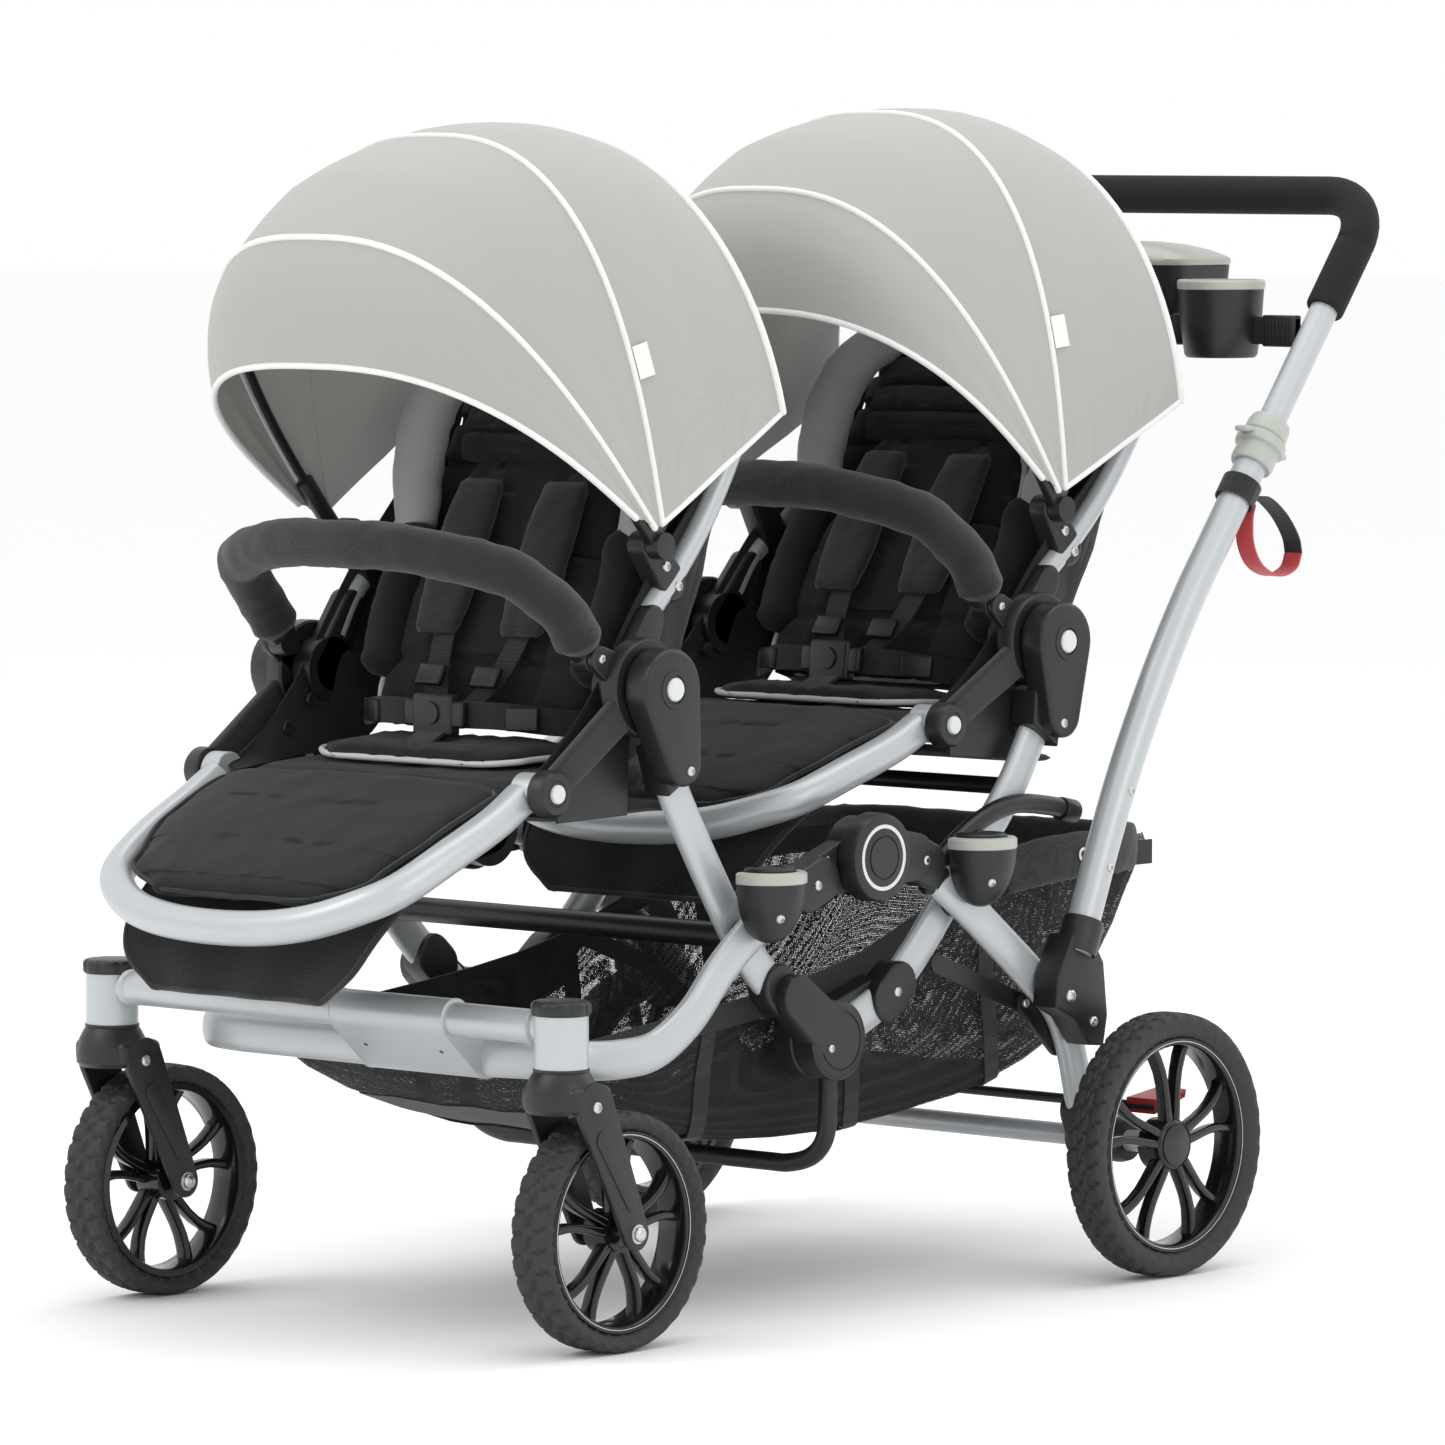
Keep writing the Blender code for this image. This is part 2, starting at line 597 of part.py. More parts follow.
def support_frame(end, places, crossing, hub_span, cross_tube, cross_radius):
    pieces = []
    for _, side in SIDES:
        pieces.append(oval_tube("tube", in_plane(side * SUPPORT_PLANE, places), FRAME_PAINT))
        pieces.append(disc("washer", span_of(WASHER_SPAN, side), crossing, 0.015, PLASTIC, 16))
        span = span_of(hub_span, side)
        pieces.append(disc("hub", span, LOWER_HUB, LOWER_HUB_RADIUS, PLASTIC, 20))
        outline = strap_outline(LOWER_HUB, 0.024, places[-2], OVAL_HEIGHT / 2 + 0.003)
        pieces.append(plate("arm", outline, span, PLASTIC))
        cheek = span_of((SUPPORT_PLANE - 0.0125, SUPPORT_PLANE + 0.0125), side)
        edge = OVAL_HEIGHT / 2 + 0.003
        pieces.append(plate("cheek", strap_outline(places[-2], edge, cheek_end(places), edge), cheek, PLASTIC))
    reach = SUPPORT_PLANE
    pieces.append(disc("cross_tube", (-reach, reach), cross_tube, cross_radius, BLACK_PAINT, 14))
    return pieces


def cheek_end(places):
    """A point a little up the tube from its bracket's screw."""
    (y0, z0), (y1, z1) = places[-2], places[-3]
    return (y0 + (y1 - y0) * 0.35, z0 + (z1 - z0) * 0.35)


def front_support_frame():
    """Tubes from the lower hubs to the front seat, with the cross tube and the bar under the basket."""
    hub_span = (DISC_SPLIT + RUN / 2, SUPPORT_PLANE + 0.026)
    pieces = support_frame("front", FRONT_SUPPORT, FRONT_CROSSING, hub_span, FRONT_CROSSING, 0.0115)
    x = SUPPORT_PLANE + 0.010
    y, z = LOWER_HUB
    half = [(x, y, z - 0.030), (x, y, z - 0.060), (x - 0.003, y, z - 0.088), (x - 0.018, y, z - 0.106)]
    half += [(x - 0.045, y, z - 0.114), (x - 0.075, y, z - 0.1155), (0.0, y, z - 0.1155)]
    pieces.append(tube("basket_bar", mirrored(half), 0.0085, BLACK_PAINT))
    made = fuse("front_support_frame", pieces, FRAME_PAINT)
    settle(made, (0, *FRONT_CROSSING))


def rear_support_frame():
    hub_span = (SUPPORT_PLANE - 0.024, DISC_SPLIT - RUN / 2)
    pieces = support_frame("rear", REAR_SUPPORT, REAR_CROSSING, hub_span, REAR_SUPPORT[1], 0.008)
    made = fuse("rear_support_frame", pieces, FRAME_PAINT)
    settle(made, (0, *REAR_CROSSING))


LINK_ENDS = ((0.497, 0.297), (0.613, 0.253))


def fold_link(side_name, side):
    """The flat bar that ties the rear support to the lever on the rear leg."""
    outline = strap_outline(LINK_ENDS[0], 0.009, LINK_ENDS[1], 0.009)
    inner = SUPPORT_PLANE + OVAL_WIDTH / 2 + GAP
    outer = LEG_PLANE - 0.0105 - GAP
    made = plate(f"fold_link_{side_name}", outline, span_of((inner, outer), side), BLACK_PAINT)
    settle(made, (side * inner, *LINK_ENDS[0]))


MOUNT_SPAN = (SUPPORT_PLANE + 0.0035, SUPPORT_PLANE + 0.033)
SOCKET_SPAN = (SUPPORT_PLANE - 0.0125, SUPPORT_PLANE + 0.018)


def seat_mount(end, side_name, side):
    """The housing on top of a support tube that takes one side of a seat."""
    hub, _ = SEAT_HUBS[end]
    tube_path = FRONT_SUPPORT if end == "front" else REAR_SUPPORT
    foot = Vector(tube_path[0])
    unit = (foot - Vector(hub)).normalized()
    along = (Vector(tube_path[1]) - foot).normalized()
    low = foot - along * GAP
    shoulder = Vector(hub) + unit * (SEAT_HUB_RADIUS + 0.004)
    housing = strap_outline(hub, 0.036, tuple(foot - along * 0.0225), 0.021)
    pieces = [plate("housing", housing, span_of(MOUNT_SPAN, side), PLASTIC)]
    across = Vector((-unit.y, unit.x)) * 0.0205
    low_across = Vector((-along.y, along.x)) * 0.0205
    corners = [shoulder + across, low + low_across, low - low_across, shoulder - across]
    pieces.append(plate("socket", [tuple(c) for c in corners], span_of(SOCKET_SPAN, side), PLASTIC))
    made = fuse(f"{end}_seat_mount_{side_name}", pieces, PLASTIC)
    face = MOUNT_SPAN[1]
    pocket = span_of((face - 0.009, face + 0.01), side)
    made = cut(made, [disc("pocket", pocket, hub, BUTTON_RADIUS + RUN, PLASTIC, 20)])
    settle(made, (side * face, *hub))
    button_span = span_of((face - 0.009 + BUTTON_TRAVEL + RUN, face + 0.0025), side)
    button = disc(f"{end}_seat_button_{side_name}", button_span, hub, BUTTON_RADIUS, GREY_PLASTIC, 20)
    settle(button, (side * face, *hub))


# ---------------------------------------------------------------- seats

BASE_SPAN = (RAIL_PLANE + 0.007, SUPPORT_PLANE + 0.0028)
FOOT_DISC_SPAN = (RAIL_PLANE + 0.0130, RAIL_PLANE + 0.032)
FOOT_KNUCKLE_SPAN = (RAIL_PLANE - 0.010, RAIL_PLANE + 0.0125)


def seat_frame(end, hub):
    """Both hub discs, the side rails, the footrest joints and the sling base between the rails."""
    pieces = []
    base = [(-0.103, -0.1165), (0.060, -0.1125), (0.060, -0.1015), (-0.040, -0.1035), (-0.103, -0.1045)]
    skirt = [(-0.103, -0.100), (-0.101, -0.114), (-0.012, -0.112), (-0.008, -0.030), (-0.035, -0.025)]
    reach = BASE_SPAN[0] + 0.0025
    pieces.append(plate("base", base, (-reach, reach), SEAT_FABRIC))
    for _, side in SIDES:
        pieces.append(disc("hub", span_of(BASE_SPAN, side), (0, 0), SEAT_HUB_RADIUS, PLASTIC, 20))
        pieces.append(plate("skirt", skirt, span_of((BASE_SPAN[0], BASE_SPAN[0] + 0.0038), side), PLASTIC))
        rail = strap_outline(FOOT_JOINT, 0.014, (-0.012, -0.008), 0.017, 6)
        pieces.append(plate("rail", rail, span_of((FOOT_DISC_SPAN[0], FOOT_DISC_SPAN[0] + 0.012), side), FRAME_PAINT))
        ear = strap_outline(BUMPER_JOINT, 0.012, (0, 0), 0.020)
        pieces.append(plate("ear", ear, span_of((BASE_SPAN[0], BASE_SPAN[0] + 0.008), side), PLASTIC))
        span = span_of(FOOT_DISC_SPAN, side)
        pieces.append(disc("foot_joint", span, FOOT_JOINT, 0.0205, PLASTIC))
    made = fuse(f"{end}_seat_frame", pieces, PLASTIC)
    face = FOOT_DISC_SPAN[1]
    pockets = []
    for _, side in SIDES:
        pocket = span_of((face - 0.008, face + 0.01), side)
        pockets.append(disc("pocket", pocket, FOOT_JOINT, 0.0085 + RUN, PLASTIC, 20))
    made = cut(made, pockets)
    settle(made, (0, 0, 0), hub)
    for side_name, side in SIDES:
        span = span_of((face - 0.008 + BUTTON_TRAVEL + RUN, face + 0.0025), side)
        button = disc(f"{end}_footrest_button_{side_name}", span, FOOT_JOINT, 0.0085, GREY_PLASTIC, 20)
        settle(button, (side * face, *FOOT_JOINT), hub)


def footrest(end, hub):
    """The U tube with its knuckles, and the fabric leg rest hung inside it."""
    x = FOOT_DISC_SPAN[0] - FOOT_TUBE_RADIUS - RUN
    y, z = FOOT_JOINT
    half = [(x, y - 0.010, z - 0.005), (x, y - 0.044, z - 0.025), (x - 0.004, y - 0.098, z - 0.051)]
    half += [(0.168, y - 0.150, z - 0.079), (0.120, y - 0.186, z - 0.103), (0.060, y - 0.198, z - 0.113)]
    half += [(0.0, y - 0.200, z - 0.115)]
    pieces = [tube("tube", mirrored(half), FOOT_TUBE_RADIUS, FRAME_PAINT)]
    for _, side in SIDES:
        span = span_of(FOOT_KNUCKLE_SPAN, side)
        pieces.append(disc("knuckle", span, FOOT_JOINT, 0.0175, FRAME_PAINT, 20))
    rest = [(y - 0.022, z - 0.014), (y - 0.188, z - 0.100), (y - 0.196, z - 0.122)]
    rest += [(y - 0.182, z - 0.178), (y - 0.166, z - 0.180), (y - 0.155, z - 0.125), (y - 0.032, z - 0.045)]
    pieces.append(plate("leg_rest", rest, (-0.120, 0.120), SEAT_FABRIC))
    tie = [(y - 0.060, z - 0.026), (y - 0.120, z - 0.058), (y - 0.124, z - 0.070), (y - 0.064, z - 0.038)]
    pieces.append(plate("side_web", tie, (-0.182, 0.182), SEAT_FABRIC))
    made = fuse(f"{end}_footrest", pieces, FRAME_PAINT)
    settle(made, (0, *FOOT_JOINT), hub)


def back_frame(end, hub):
    """The bent tube round the backrest, its knuckles in the hubs and the canopy clips."""
    x = RAIL_PLANE - 0.006
    side_path = [(0.014, 0.030), (0.034, 0.064), (0.066, 0.096), (0.104, 0.142), (0.140, 0.200), (0.170, 0.262)]
    half = [(x, *p) for p in side_path]
    half += [(x - 0.012, 0.186, 0.292), (x - 0.050, 0.194, 0.304), (0.0, 0.196, 0.306)]
    pieces = [tube("tube", mirrored(half), 0.0105, FRAME_PAINT)]
    for _, side in SIDES:
        span = span_of((RAIL_PLANE - 0.016, BASE_SPAN[0] - RUN / 2), side)
        pieces.append(disc("knuckle", span, (0, 0), 0.030, PLASTIC, 20))
        pieces.append(plate("neck", strap_outline((0, 0), 0.022, (0.030, 0.058), 0.013), span, PLASTIC))
        clip = span_of((x - 0.013, x + 0.0095), side)
        pieces.append(plate("clip", strap_outline((0.058, 0.089), 0.017, CANOPY_JOINT, 0.013), clip, PLASTIC))
    made = fuse(f"{end}_back_frame", pieces, FRAME_PAINT)
    settle(made, (0, 0, 0), hub)


def seat_pad(end, hub):
    outline = [(-0.132, -0.1000), (-0.126, -0.091), (-0.060, -0.078), (0.020, -0.069), (0.070, -0.071)]
    outline += [(0.070, -0.097), (-0.040, -0.1010)]
    made = plate(f"{end}_seat_pad", outline, (-SEAT_HALF_WIDTH, SEAT_HALF_WIDTH), SEAT_FABRIC)
    settle(made, (0, 0, 0), hub)


def back_pad(end, hub):
    """A deep cushion between the back tube's sides, which comes forward to hold the child."""
    outline = [(-0.008, -0.054), (0.030, -0.048), (0.080, -0.036), (0.104, -0.046), (0.122, -0.030), (0.180, 0.120)]
    outline += [(0.216, 0.270), (0.202, 0.284), (0.172, 0.280), (0.128, 0.262), (0.088, 0.150), (0.034, 0.030)]
    made = plate(f"{end}_back_pad", outline, (-SEAT_HALF_WIDTH, SEAT_HALF_WIDTH), SEAT_FABRIC)
    settle(made, (0, 0, 0), hub)


def bumper_bar(end, hub):
    """The padded arch in front of the child, with a knuckle at each end."""
    x = RAIL_PLANE - 0.003
    y, z = BUMPER_JOINT
    half = [(x, y, z), (x, y - 0.010, z + 0.016), (x - 0.002, y - 0.034, z + 0.044), (0.170, y - 0.070, z + 0.072)]
    half += [(0.126, y - 0.098, z + 0.089), (0.070, y - 0.113, z + 0.097), (0.0, y - 0.118, z + 0.099)]
    path = mirrored(half)
    last = len(path) - 1
    radii = [0.6 if min(i, last - i) < 2 else 1.0 for i in range(last + 1)]
    pieces = [tube("bar", path, 0.0215, SEAT_FABRIC, radii=radii)]
    for _, side in SIDES:
        span = span_of((RAIL_PLANE - 0.012, BASE_SPAN[0] - RUN / 2), side)
        pieces.append(disc("knuckle", span, BUMPER_JOINT, 0.0125, PLASTIC, 16))
    made = fuse(f"{end}_bumper_bar", pieces, SEAT_FABRIC)
    made = cut(made, [box_pair_outside(BASE_SPAN[0] - RUN / 2)])
    settle(made, (0, *BUMPER_JOINT), hub)


def box_pair_outside(x):
    """A cutter that clears both sides beyond x, held together by a far bridge."""
    left = box("left", (x, -0.3, -0.1), (x + 0.1, 0.05, 0.1), PLASTIC)
    right = box("right", (-x - 0.1, -0.3, -0.1), (-x, 0.05, 0.1), PLASTIC)
    bridge = box("bridge", (-x - 0.05, 0.04, -0.1), (x + 0.05, 0.05, 0.1), PLASTIC)
    return fuse("outside", [left, right, bridge], PLASTIC)


def arch(half_width, height, steps, power):
    """Half of an ellipse from +X to -X, squarer as the power falls below 1: (x, height) pairs."""
    pairs = []
    for i in range(steps + 1):
        a = math.pi * i / steps
        across = math.copysign(abs(math.cos(a)) ** power, math.cos(a))
        pairs.append((half_width * across, height * abs(math.sin(a)) ** power))
    return pairs


def fan_point(angle, x, radius):
    """A point at this distance from the canopy's joint line, in the plane at this angle."""
    a = math.radians(angle)
    return (x, CANOPY_JOINT[0] + radius * math.cos(a), CANOPY_JOINT[1] + radius * math.sin(a))


def canopy_shell(name, rows, hub, pivot):
    """A sheet through rows of points, given its thickness inwards."""
    bm = bmesh.new()
    grid = [[bm.verts.new(p) for p in row] for row in rows]
    for first, second in zip(grid, grid[1:]):
        for i in range(len(first) - 1):
            bm.faces.new((first[i], first[i + 1], second[i + 1], second[i]))
    made = mesh_object(name, bm, CANOPY_FABRIC)
    thick = made.modifiers.new("thickness", "SOLIDIFY")
    thick.thickness = CANOPY_WALL
    thick.offset = 0.0
    made = as_mesh(made)
    settle(made, pivot, hub)
    return made


CANOPY_STEPS = 16
ARCH_POWER = 0.74
REAR_ARCH_POWER = 0.95
RIDGE_GAP = 1.2  # degrees between the two panels' edges


def canopy_front(end, hub):
    """The moving panel from the ridge to the front hoop, and the visor below it."""
    fan = ((RIDGE_ANGLE + RIDGE_GAP, RIDGE_RADIUS), (116.5, 0.366), (HOOP_ANGLE, 0.356))
    fan += ((138.5, 0.332), (146.0, 0.284))
    rows = []
    for angle, radius in fan:
        base = 0.020 if angle < 135 else 0.045
        outline = arch(CANOPY_HALF_WIDTH, radius - base, CANOPY_STEPS, ARCH_POWER)
        rows.append([fan_point(angle, x, base + height) for x, height in outline])
    canopy_shell(f"{end}_canopy_front", rows, hub, (0, *CANOPY_JOINT))


def canopy_rear(end, hub):
    """The fixed panel from the ridge back to the arch behind the child's head."""
    base = 0.020
    first = [
        fan_point(RIDGE_ANGLE, x, base + height)
        for x, height in arch(CANOPY_HALF_WIDTH, RIDGE_RADIUS - base, CANOPY_STEPS, ARCH_POWER)
    ]
    corner, top = (0.176, 0.236), (0.112, 0.482)
    last = []
    for x, height in arch(CANOPY_HALF_WIDTH + 0.006, 1.0, CANOPY_STEPS, REAR_ARCH_POWER):
        last.append((x, corner[0] + (top[0] - corner[0]) * height, corner[1] + (top[1] - corner[1]) * height))
    middle = []
    for i, (a, b) in enumerate(zip(first, last)):
        swell = 0.012 * math.sin(math.pi * i / CANOPY_STEPS)
        middle.append(tuple((p + q) / 2 + (swell if k == 2 else 0.0) for k, (p, q) in enumerate(zip(a, b))))
    canopy_shell(f"{end}_canopy_rear", [first, middle, last], hub, (0, *CANOPY_JOINT))


def canopy_hoop(end, hub):
    """The wire arch that opens and folds the canopy."""
    outline = arch(CANOPY_HALF_WIDTH - 0.0085, HOOP_RADIUS, CANOPY_STEPS, ARCH_POWER)
    path = [fan_point(HOOP_ANGLE, x, height) for x, height in outline]
    pieces = [tube("wire", path, 0.0042, BLACK_PAINT, 6)]
    for _, side in SIDES:
        span = span_of((RAIL_PLANE + 0.0045, CANOPY_HALF_WIDTH + 0.002), side)
        pieces.append(disc("pivot", span, CANOPY_JOINT, 0.012, PLASTIC, 16))
    made = fuse(f"{end}_canopy_hoop", pieces, BLACK_PAINT)
    settle(made, (0, *CANOPY_JOINT), hub)


def seat(end):
    place, lean = SEAT_HUBS[end]
    hub = empty(f"{end}_seat_hub", (0, *place), lean)
    for make in (seat_frame, footrest, back_frame, seat_pad, back_pad, bumper_bar):
        make(end, hub)
    for make in (canopy_hoop, canopy_front, canopy_rear):
        make(end, hub)


# ---------------------------------------------------------------- push handle and tray

SLOPE = Vector((math.cos(math.radians(HANDLE_SLOPE)), math.sin(math.radians(HANDLE_SLOPE))))
PUSH_LOW = [(0.640, 0.300), (0.656, 0.338), (0.682, 0.401), (0.716, 0.474), (0.762, 0.556)]


def along_slope(distance):
    """The (y, z) at a distance up the handle from its collar."""
    return (COLLAR[0] + SLOPE.x * distance, COLLAR[1] + SLOPE.y * distance)


def push_tube(side_name, side):
    """The lower tube, its pivot bracket below and the clamp collar above, bored for the handle."""
    x = side * PUSH_PLANE
    straight = [along_slope(-0.180), along_slope(0.0)]
    path = in_plane(x, PUSH_LOW) + in_plane(x, straight)
    pieces = [tube("tube", path, PUSH_RADIUS, FRAME_PAINT, HANDLE_SIDES)]
    inner = LEG_PLANE + OVAL_WIDTH / 2 + RUN
    outline = [(0.628, 0.318), (0.655, 0.316), (0.672, 0.290), (0.678, 0.240), (0.672, 0.212), (0.652, 0.214)]
    outline += [(0.630, 0.240), (0.604, 0.252), (0.606, 0.280)]
    pieces.append(plate("bracket", outline, span_of((inner, PUSH_PLANE + 0.010), side), PLASTIC))
    low, high = along_slope(-0.030), along_slope(0.018)
    lip_low, lip_high = along_slope(-0.012), along_slope(-0.002)
    pieces.append(cylinder("collar", (x, *low), (x, *high), 0.0205, GREY_PLASTIC, 20, 0.0185))
    pieces.append(cylinder("lip", (x, *lip_low), (x, *lip_high), 0.0245, GREY_PLASTIC, 20))
    made = fuse(f"push_tube_{side_name}", pieces, FRAME_PAINT)
    bore_low = along_slope(-HANDLE_STUB - HANDLE_TRAVEL - 0.004)
    bore_radius = HANDLE_RADIUS / math.cos(math.pi / HANDLE_SIDES) + RUN / 2
    bore = cylinder("bore", (x, *bore_low), (x, *along_slope(0.03)), bore_radius, FRAME_PAINT, HANDLE_SIDES)
    made = cut(made, [bore])
    settle(made, (x, *HANDLE_PIVOT))


def handle_path():
    """Up one side, across the grip bar and down the other."""
    bend = 0.058
    top = along_slope(HANDLE_REACH)
    x = PUSH_PLANE
    half = [(x, *along_slope(-HANDLE_STUB)), (x, *along_slope(HANDLE_REACH - bend))]
    steps = 4
    for i in range(1, steps):
        a = math.pi / 2 * i / steps
        back = bend * (1 - math.sin(a))
        half.append((x - bend * (1 - math.cos(a)), *along_slope(HANDLE_REACH - back)))
    half += [(x - bend, *top), (0.0, *top)]
    return mirrored(half)


def push_handle():
    path = handle_path()
    made = tube("push_handle", path, HANDLE_RADIUS, FRAME_PAINT, HANDLE_SIDES)
    settle(made, (0, *COLLAR))
    grip_path = [(p[0], p[1], p[2]) for p in path[1:-1]]
    ends = in_plane(PUSH_PLANE, [along_slope(GRIP_START)])
    grip_path = ends + grip_path + [(-ends[0][0], ends[0][1], ends[0][2])]
    grip = tube("handle_grip", grip_path, GRIP_RADIUS, FOAM, HANDLE_SIDES)
    core = tube("core", path, HANDLE_RADIUS + 2 * GAP, FOAM, HANDLE_SIDES)
    grip = cut(grip, [core])
    settle(grip, (0, *COLLAR))


GRIP_START = 0.150
TRAY_BAR = (0.984, 0.864)
CUP_PLACE = (0.166, 0.978)
CUP_RADIUS = 0.0415
CUP_HEIGHTS = (0.838, 0.912)
BIN_LOW = (-0.100, 0.988, 0.872)
BIN_HIGH = (0.100, 1.088, 0.924)


def parent_tray():
    """A ribbed bar between the handle's tubes with a bin in the middle and a cup on each side."""
    y, z = TRAY_BAR
    reach = PUSH_PLANE - HANDLE_RADIUS - GAP
    pieces = [box("bar", (-reach, y - 0.006, z - 0.015), (reach, y + 0.006, z + 0.015), PLASTIC)]
    pieces.append(box("bin", BIN_LOW, BIN_HIGH, PLASTIC))
    for _, side in SIDES:
        axis = (side * CUP_PLACE[0], CUP_PLACE[1])
        low, high = (*axis, CUP_HEIGHTS[0]), (*axis, CUP_HEIGHTS[1])
        pieces.append(cylinder("cup", low, high, CUP_RADIUS * 0.86, PLASTIC, 18, CUP_RADIUS))
    made = fuse("parent_tray", pieces, PLASTIC)
    wall = 0.003
    low = [v + wall for v in BIN_LOW]
    holes = [box("hollow", low, (BIN_HIGH[0] - wall, BIN_HIGH[1] - wall, BIN_HIGH[2] + 0.02), PLASTIC)]
    for _, side in SIDES:
        axis = (side * CUP_PLACE[0], CUP_PLACE[1])
        low, high = (*axis, CUP_HEIGHTS[0] + wall), (*axis, CUP_HEIGHTS[1] + 0.01)
        holes.append(cylinder("hollow", low, high, CUP_RADIUS * 0.86 - wall, PLASTIC, 18, CUP_RADIUS - wall + 0.0005))
    made = cut(made, holes)
    settle(made, (0, *TRAY_BAR))


def tray_lid():
    """The domed lid, hinged along the bin's rear edge."""
    edge = 0.004
    low = (BIN_LOW[0] - edge, BIN_LOW[1] - edge, BIN_HIGH[2] + GAP)
    high = (BIN_HIGH[0] + edge, BIN_HIGH[1], BIN_HIGH[2] + 0.008)
    base = box("tray_lid", low, high, GREY_PLASTIC)
    bm = bmesh.new()
    bmesh.ops.create_uvsphere(bm, u_segments=16, v_segments=8, radius=1.0)
    bmesh.ops.scale(bm, vec=(0.092, 0.044, 0.018), verts=bm.verts)
    bmesh.ops.translate(bm, vec=(0, (low[1] + high[1]) / 2 - 0.004, high[2] - 0.003), verts=bm.verts)
    dome = mesh_object("dome", bm, GREY_PLASTIC)
    under = box("under", (-0.2, 0.8, 0.8), (0.2, 1.2, low[2] + 0.001), GREY_PLASTIC)
    dome = cut(dome, [under])
    made = fuse("tray_lid", [base, dome], GREY_PLASTIC)
    settle(made, (0, BIN_HIGH[1], BIN_HIGH[2] + 0.004))


# ---------------------------------------------------------------- basket and brake


def basket():
    """A tub of mesh, open above, deepest in the middle and tall behind."""
    bottom = [(0.030, 0.226), (0.120, 0.180), (0.230, 0.148), (0.360, 0.1400), (0.520, 0.146)]
    bottom += [(0.640, 0.168), (0.735, 0.200), (0.822, 0.300), (0.866, 0.385)]
    top = [(0.700, 0.384), (0.560, 0.352), (0.420, 0.300), (0.240, 0.272), (0.040, 0.252)]
    made = plate("basket", bottom + top, (-BASKET_HALF_WIDTH, BASKET_HALF_WIDTH), MESH_FABRIC)
    inner = [(y + 0.002, z + BASKET_WALL) for y, z in bottom[:-2]]
    inner += [(0.8185, 0.302), (0.890, 0.440), (0.700, 0.440), (0.420, 0.420), (0.036, 0.400)]
    half = BASKET_HALF_WIDTH - BASKET_WALL
    made = cut(made, [plate("hollow", inner, (-half, half), MESH_FABRIC)])
    settle(made, (0, *bottom[3]))


def brake_bar():
    """A rod behind the axle with a foot pedal beside each wheel."""
    reach = REAR_HALF_TRACK - REAR_TYRE_WIDTH / 2 - 0.016
    y, z = BRAKE_ROD
    pieces = [disc("rod", (-reach, reach), BRAKE_ROD, BRAKE_ROD_RADIUS, PLASTIC, 12)]
    for _, side in SIDES:
        outline = [(y - 0.004, z - 0.006), (y + 0.040, z + 0.006), (y + 0.042, z + 0.014), (y - 0.004, z + 0.008)]
        pieces.append(plate("pedal", outline, span_of((reach - 0.034, reach + 0.004), side), RED_PLASTIC))
    made = fuse("brake_bar", pieces, PLASTIC)
    settle(made, (0, *BRAKE_ROD))


# ---------------------------------------------------------------- build


def build():
    for name, side in SIDES:
        wheel("front", name, side)
        wheel("rear", name, side)
        fork(name, side)
        fold_link(name, side)
        push_tube(name, side)
        for end in SEAT_HUBS:
            crossing_cover(end, name, side)
            seat_mount(end, name, side)
    caster_crossbar()
    front_leg_frame()
    rear_leg_frame()
    front_support_frame()
    rear_support_frame()
    for end in SEAT_HUBS:
        seat(end)
    push_handle()
    parent_tray()
    tray_lid()
    basket()
    brake_bar()
    centre_on_origin()


def centre_on_origin():
    """Moves the whole stroller along Y so that its box is centred over the origin."""
    bpy.context.view_layer.update()
    meshes = [obj for obj in PARTS.objects if obj.type == "MESH"]
    reach = [(obj.matrix_world @ vert.co).y for obj in meshes for vert in obj.data.vertices]
    middle = (min(reach) + max(reach)) / 2
    for obj in PARTS.objects:
        if obj.parent is None:
            obj.location.y -= middle


build()
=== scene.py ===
"""Looks of the tandem double stroller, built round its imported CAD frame.

Metres, +Z up, front towards -Y. Places in a side view are (y, z) with y counted from the front axle.
Places on a seat are (x, y, z) from the seat's hub, in the seat's own frame, which leans back with it.
"""

import json
import math

import bmesh
import bpy
from mathutils import Matrix, Vector, noise


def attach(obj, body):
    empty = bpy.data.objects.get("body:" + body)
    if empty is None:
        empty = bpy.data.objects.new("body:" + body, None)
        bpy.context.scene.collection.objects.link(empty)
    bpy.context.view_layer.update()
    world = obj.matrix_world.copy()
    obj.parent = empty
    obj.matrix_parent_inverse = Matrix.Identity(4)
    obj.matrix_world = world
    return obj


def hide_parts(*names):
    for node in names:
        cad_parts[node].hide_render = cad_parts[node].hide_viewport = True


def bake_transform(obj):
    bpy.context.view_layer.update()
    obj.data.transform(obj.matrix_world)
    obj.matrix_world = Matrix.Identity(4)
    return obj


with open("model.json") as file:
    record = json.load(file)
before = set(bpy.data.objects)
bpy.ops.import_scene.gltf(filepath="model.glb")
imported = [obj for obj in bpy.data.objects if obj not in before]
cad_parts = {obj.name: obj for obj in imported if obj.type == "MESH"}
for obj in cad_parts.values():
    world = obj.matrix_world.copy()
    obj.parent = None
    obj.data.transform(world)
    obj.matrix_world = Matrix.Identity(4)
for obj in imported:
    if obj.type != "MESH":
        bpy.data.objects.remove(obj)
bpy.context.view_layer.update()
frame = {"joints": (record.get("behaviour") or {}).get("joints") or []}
JOINTS = {joint["name"]: joint for joint in frame["joints"]}
SIDES = (("left", 1.0), ("right", -1.0))
ENDS = ("front", "rear")
X_AXIS, Z_AXIS = Vector((1, 0, 0)), Vector((0, 0, 1))


def pivot(name):
    return Vector(JOINTS[name]["pos_m"])


AXLE_Y = pivot("front_wheel_spin_left").y


def at(x, y, z):
    """A point whose y is counted from the front axle."""
    return Vector((x, y + AXLE_Y, z))


def side_view(joint):
    place = pivot(joint)
    return (place.y - AXLE_Y, place.z)


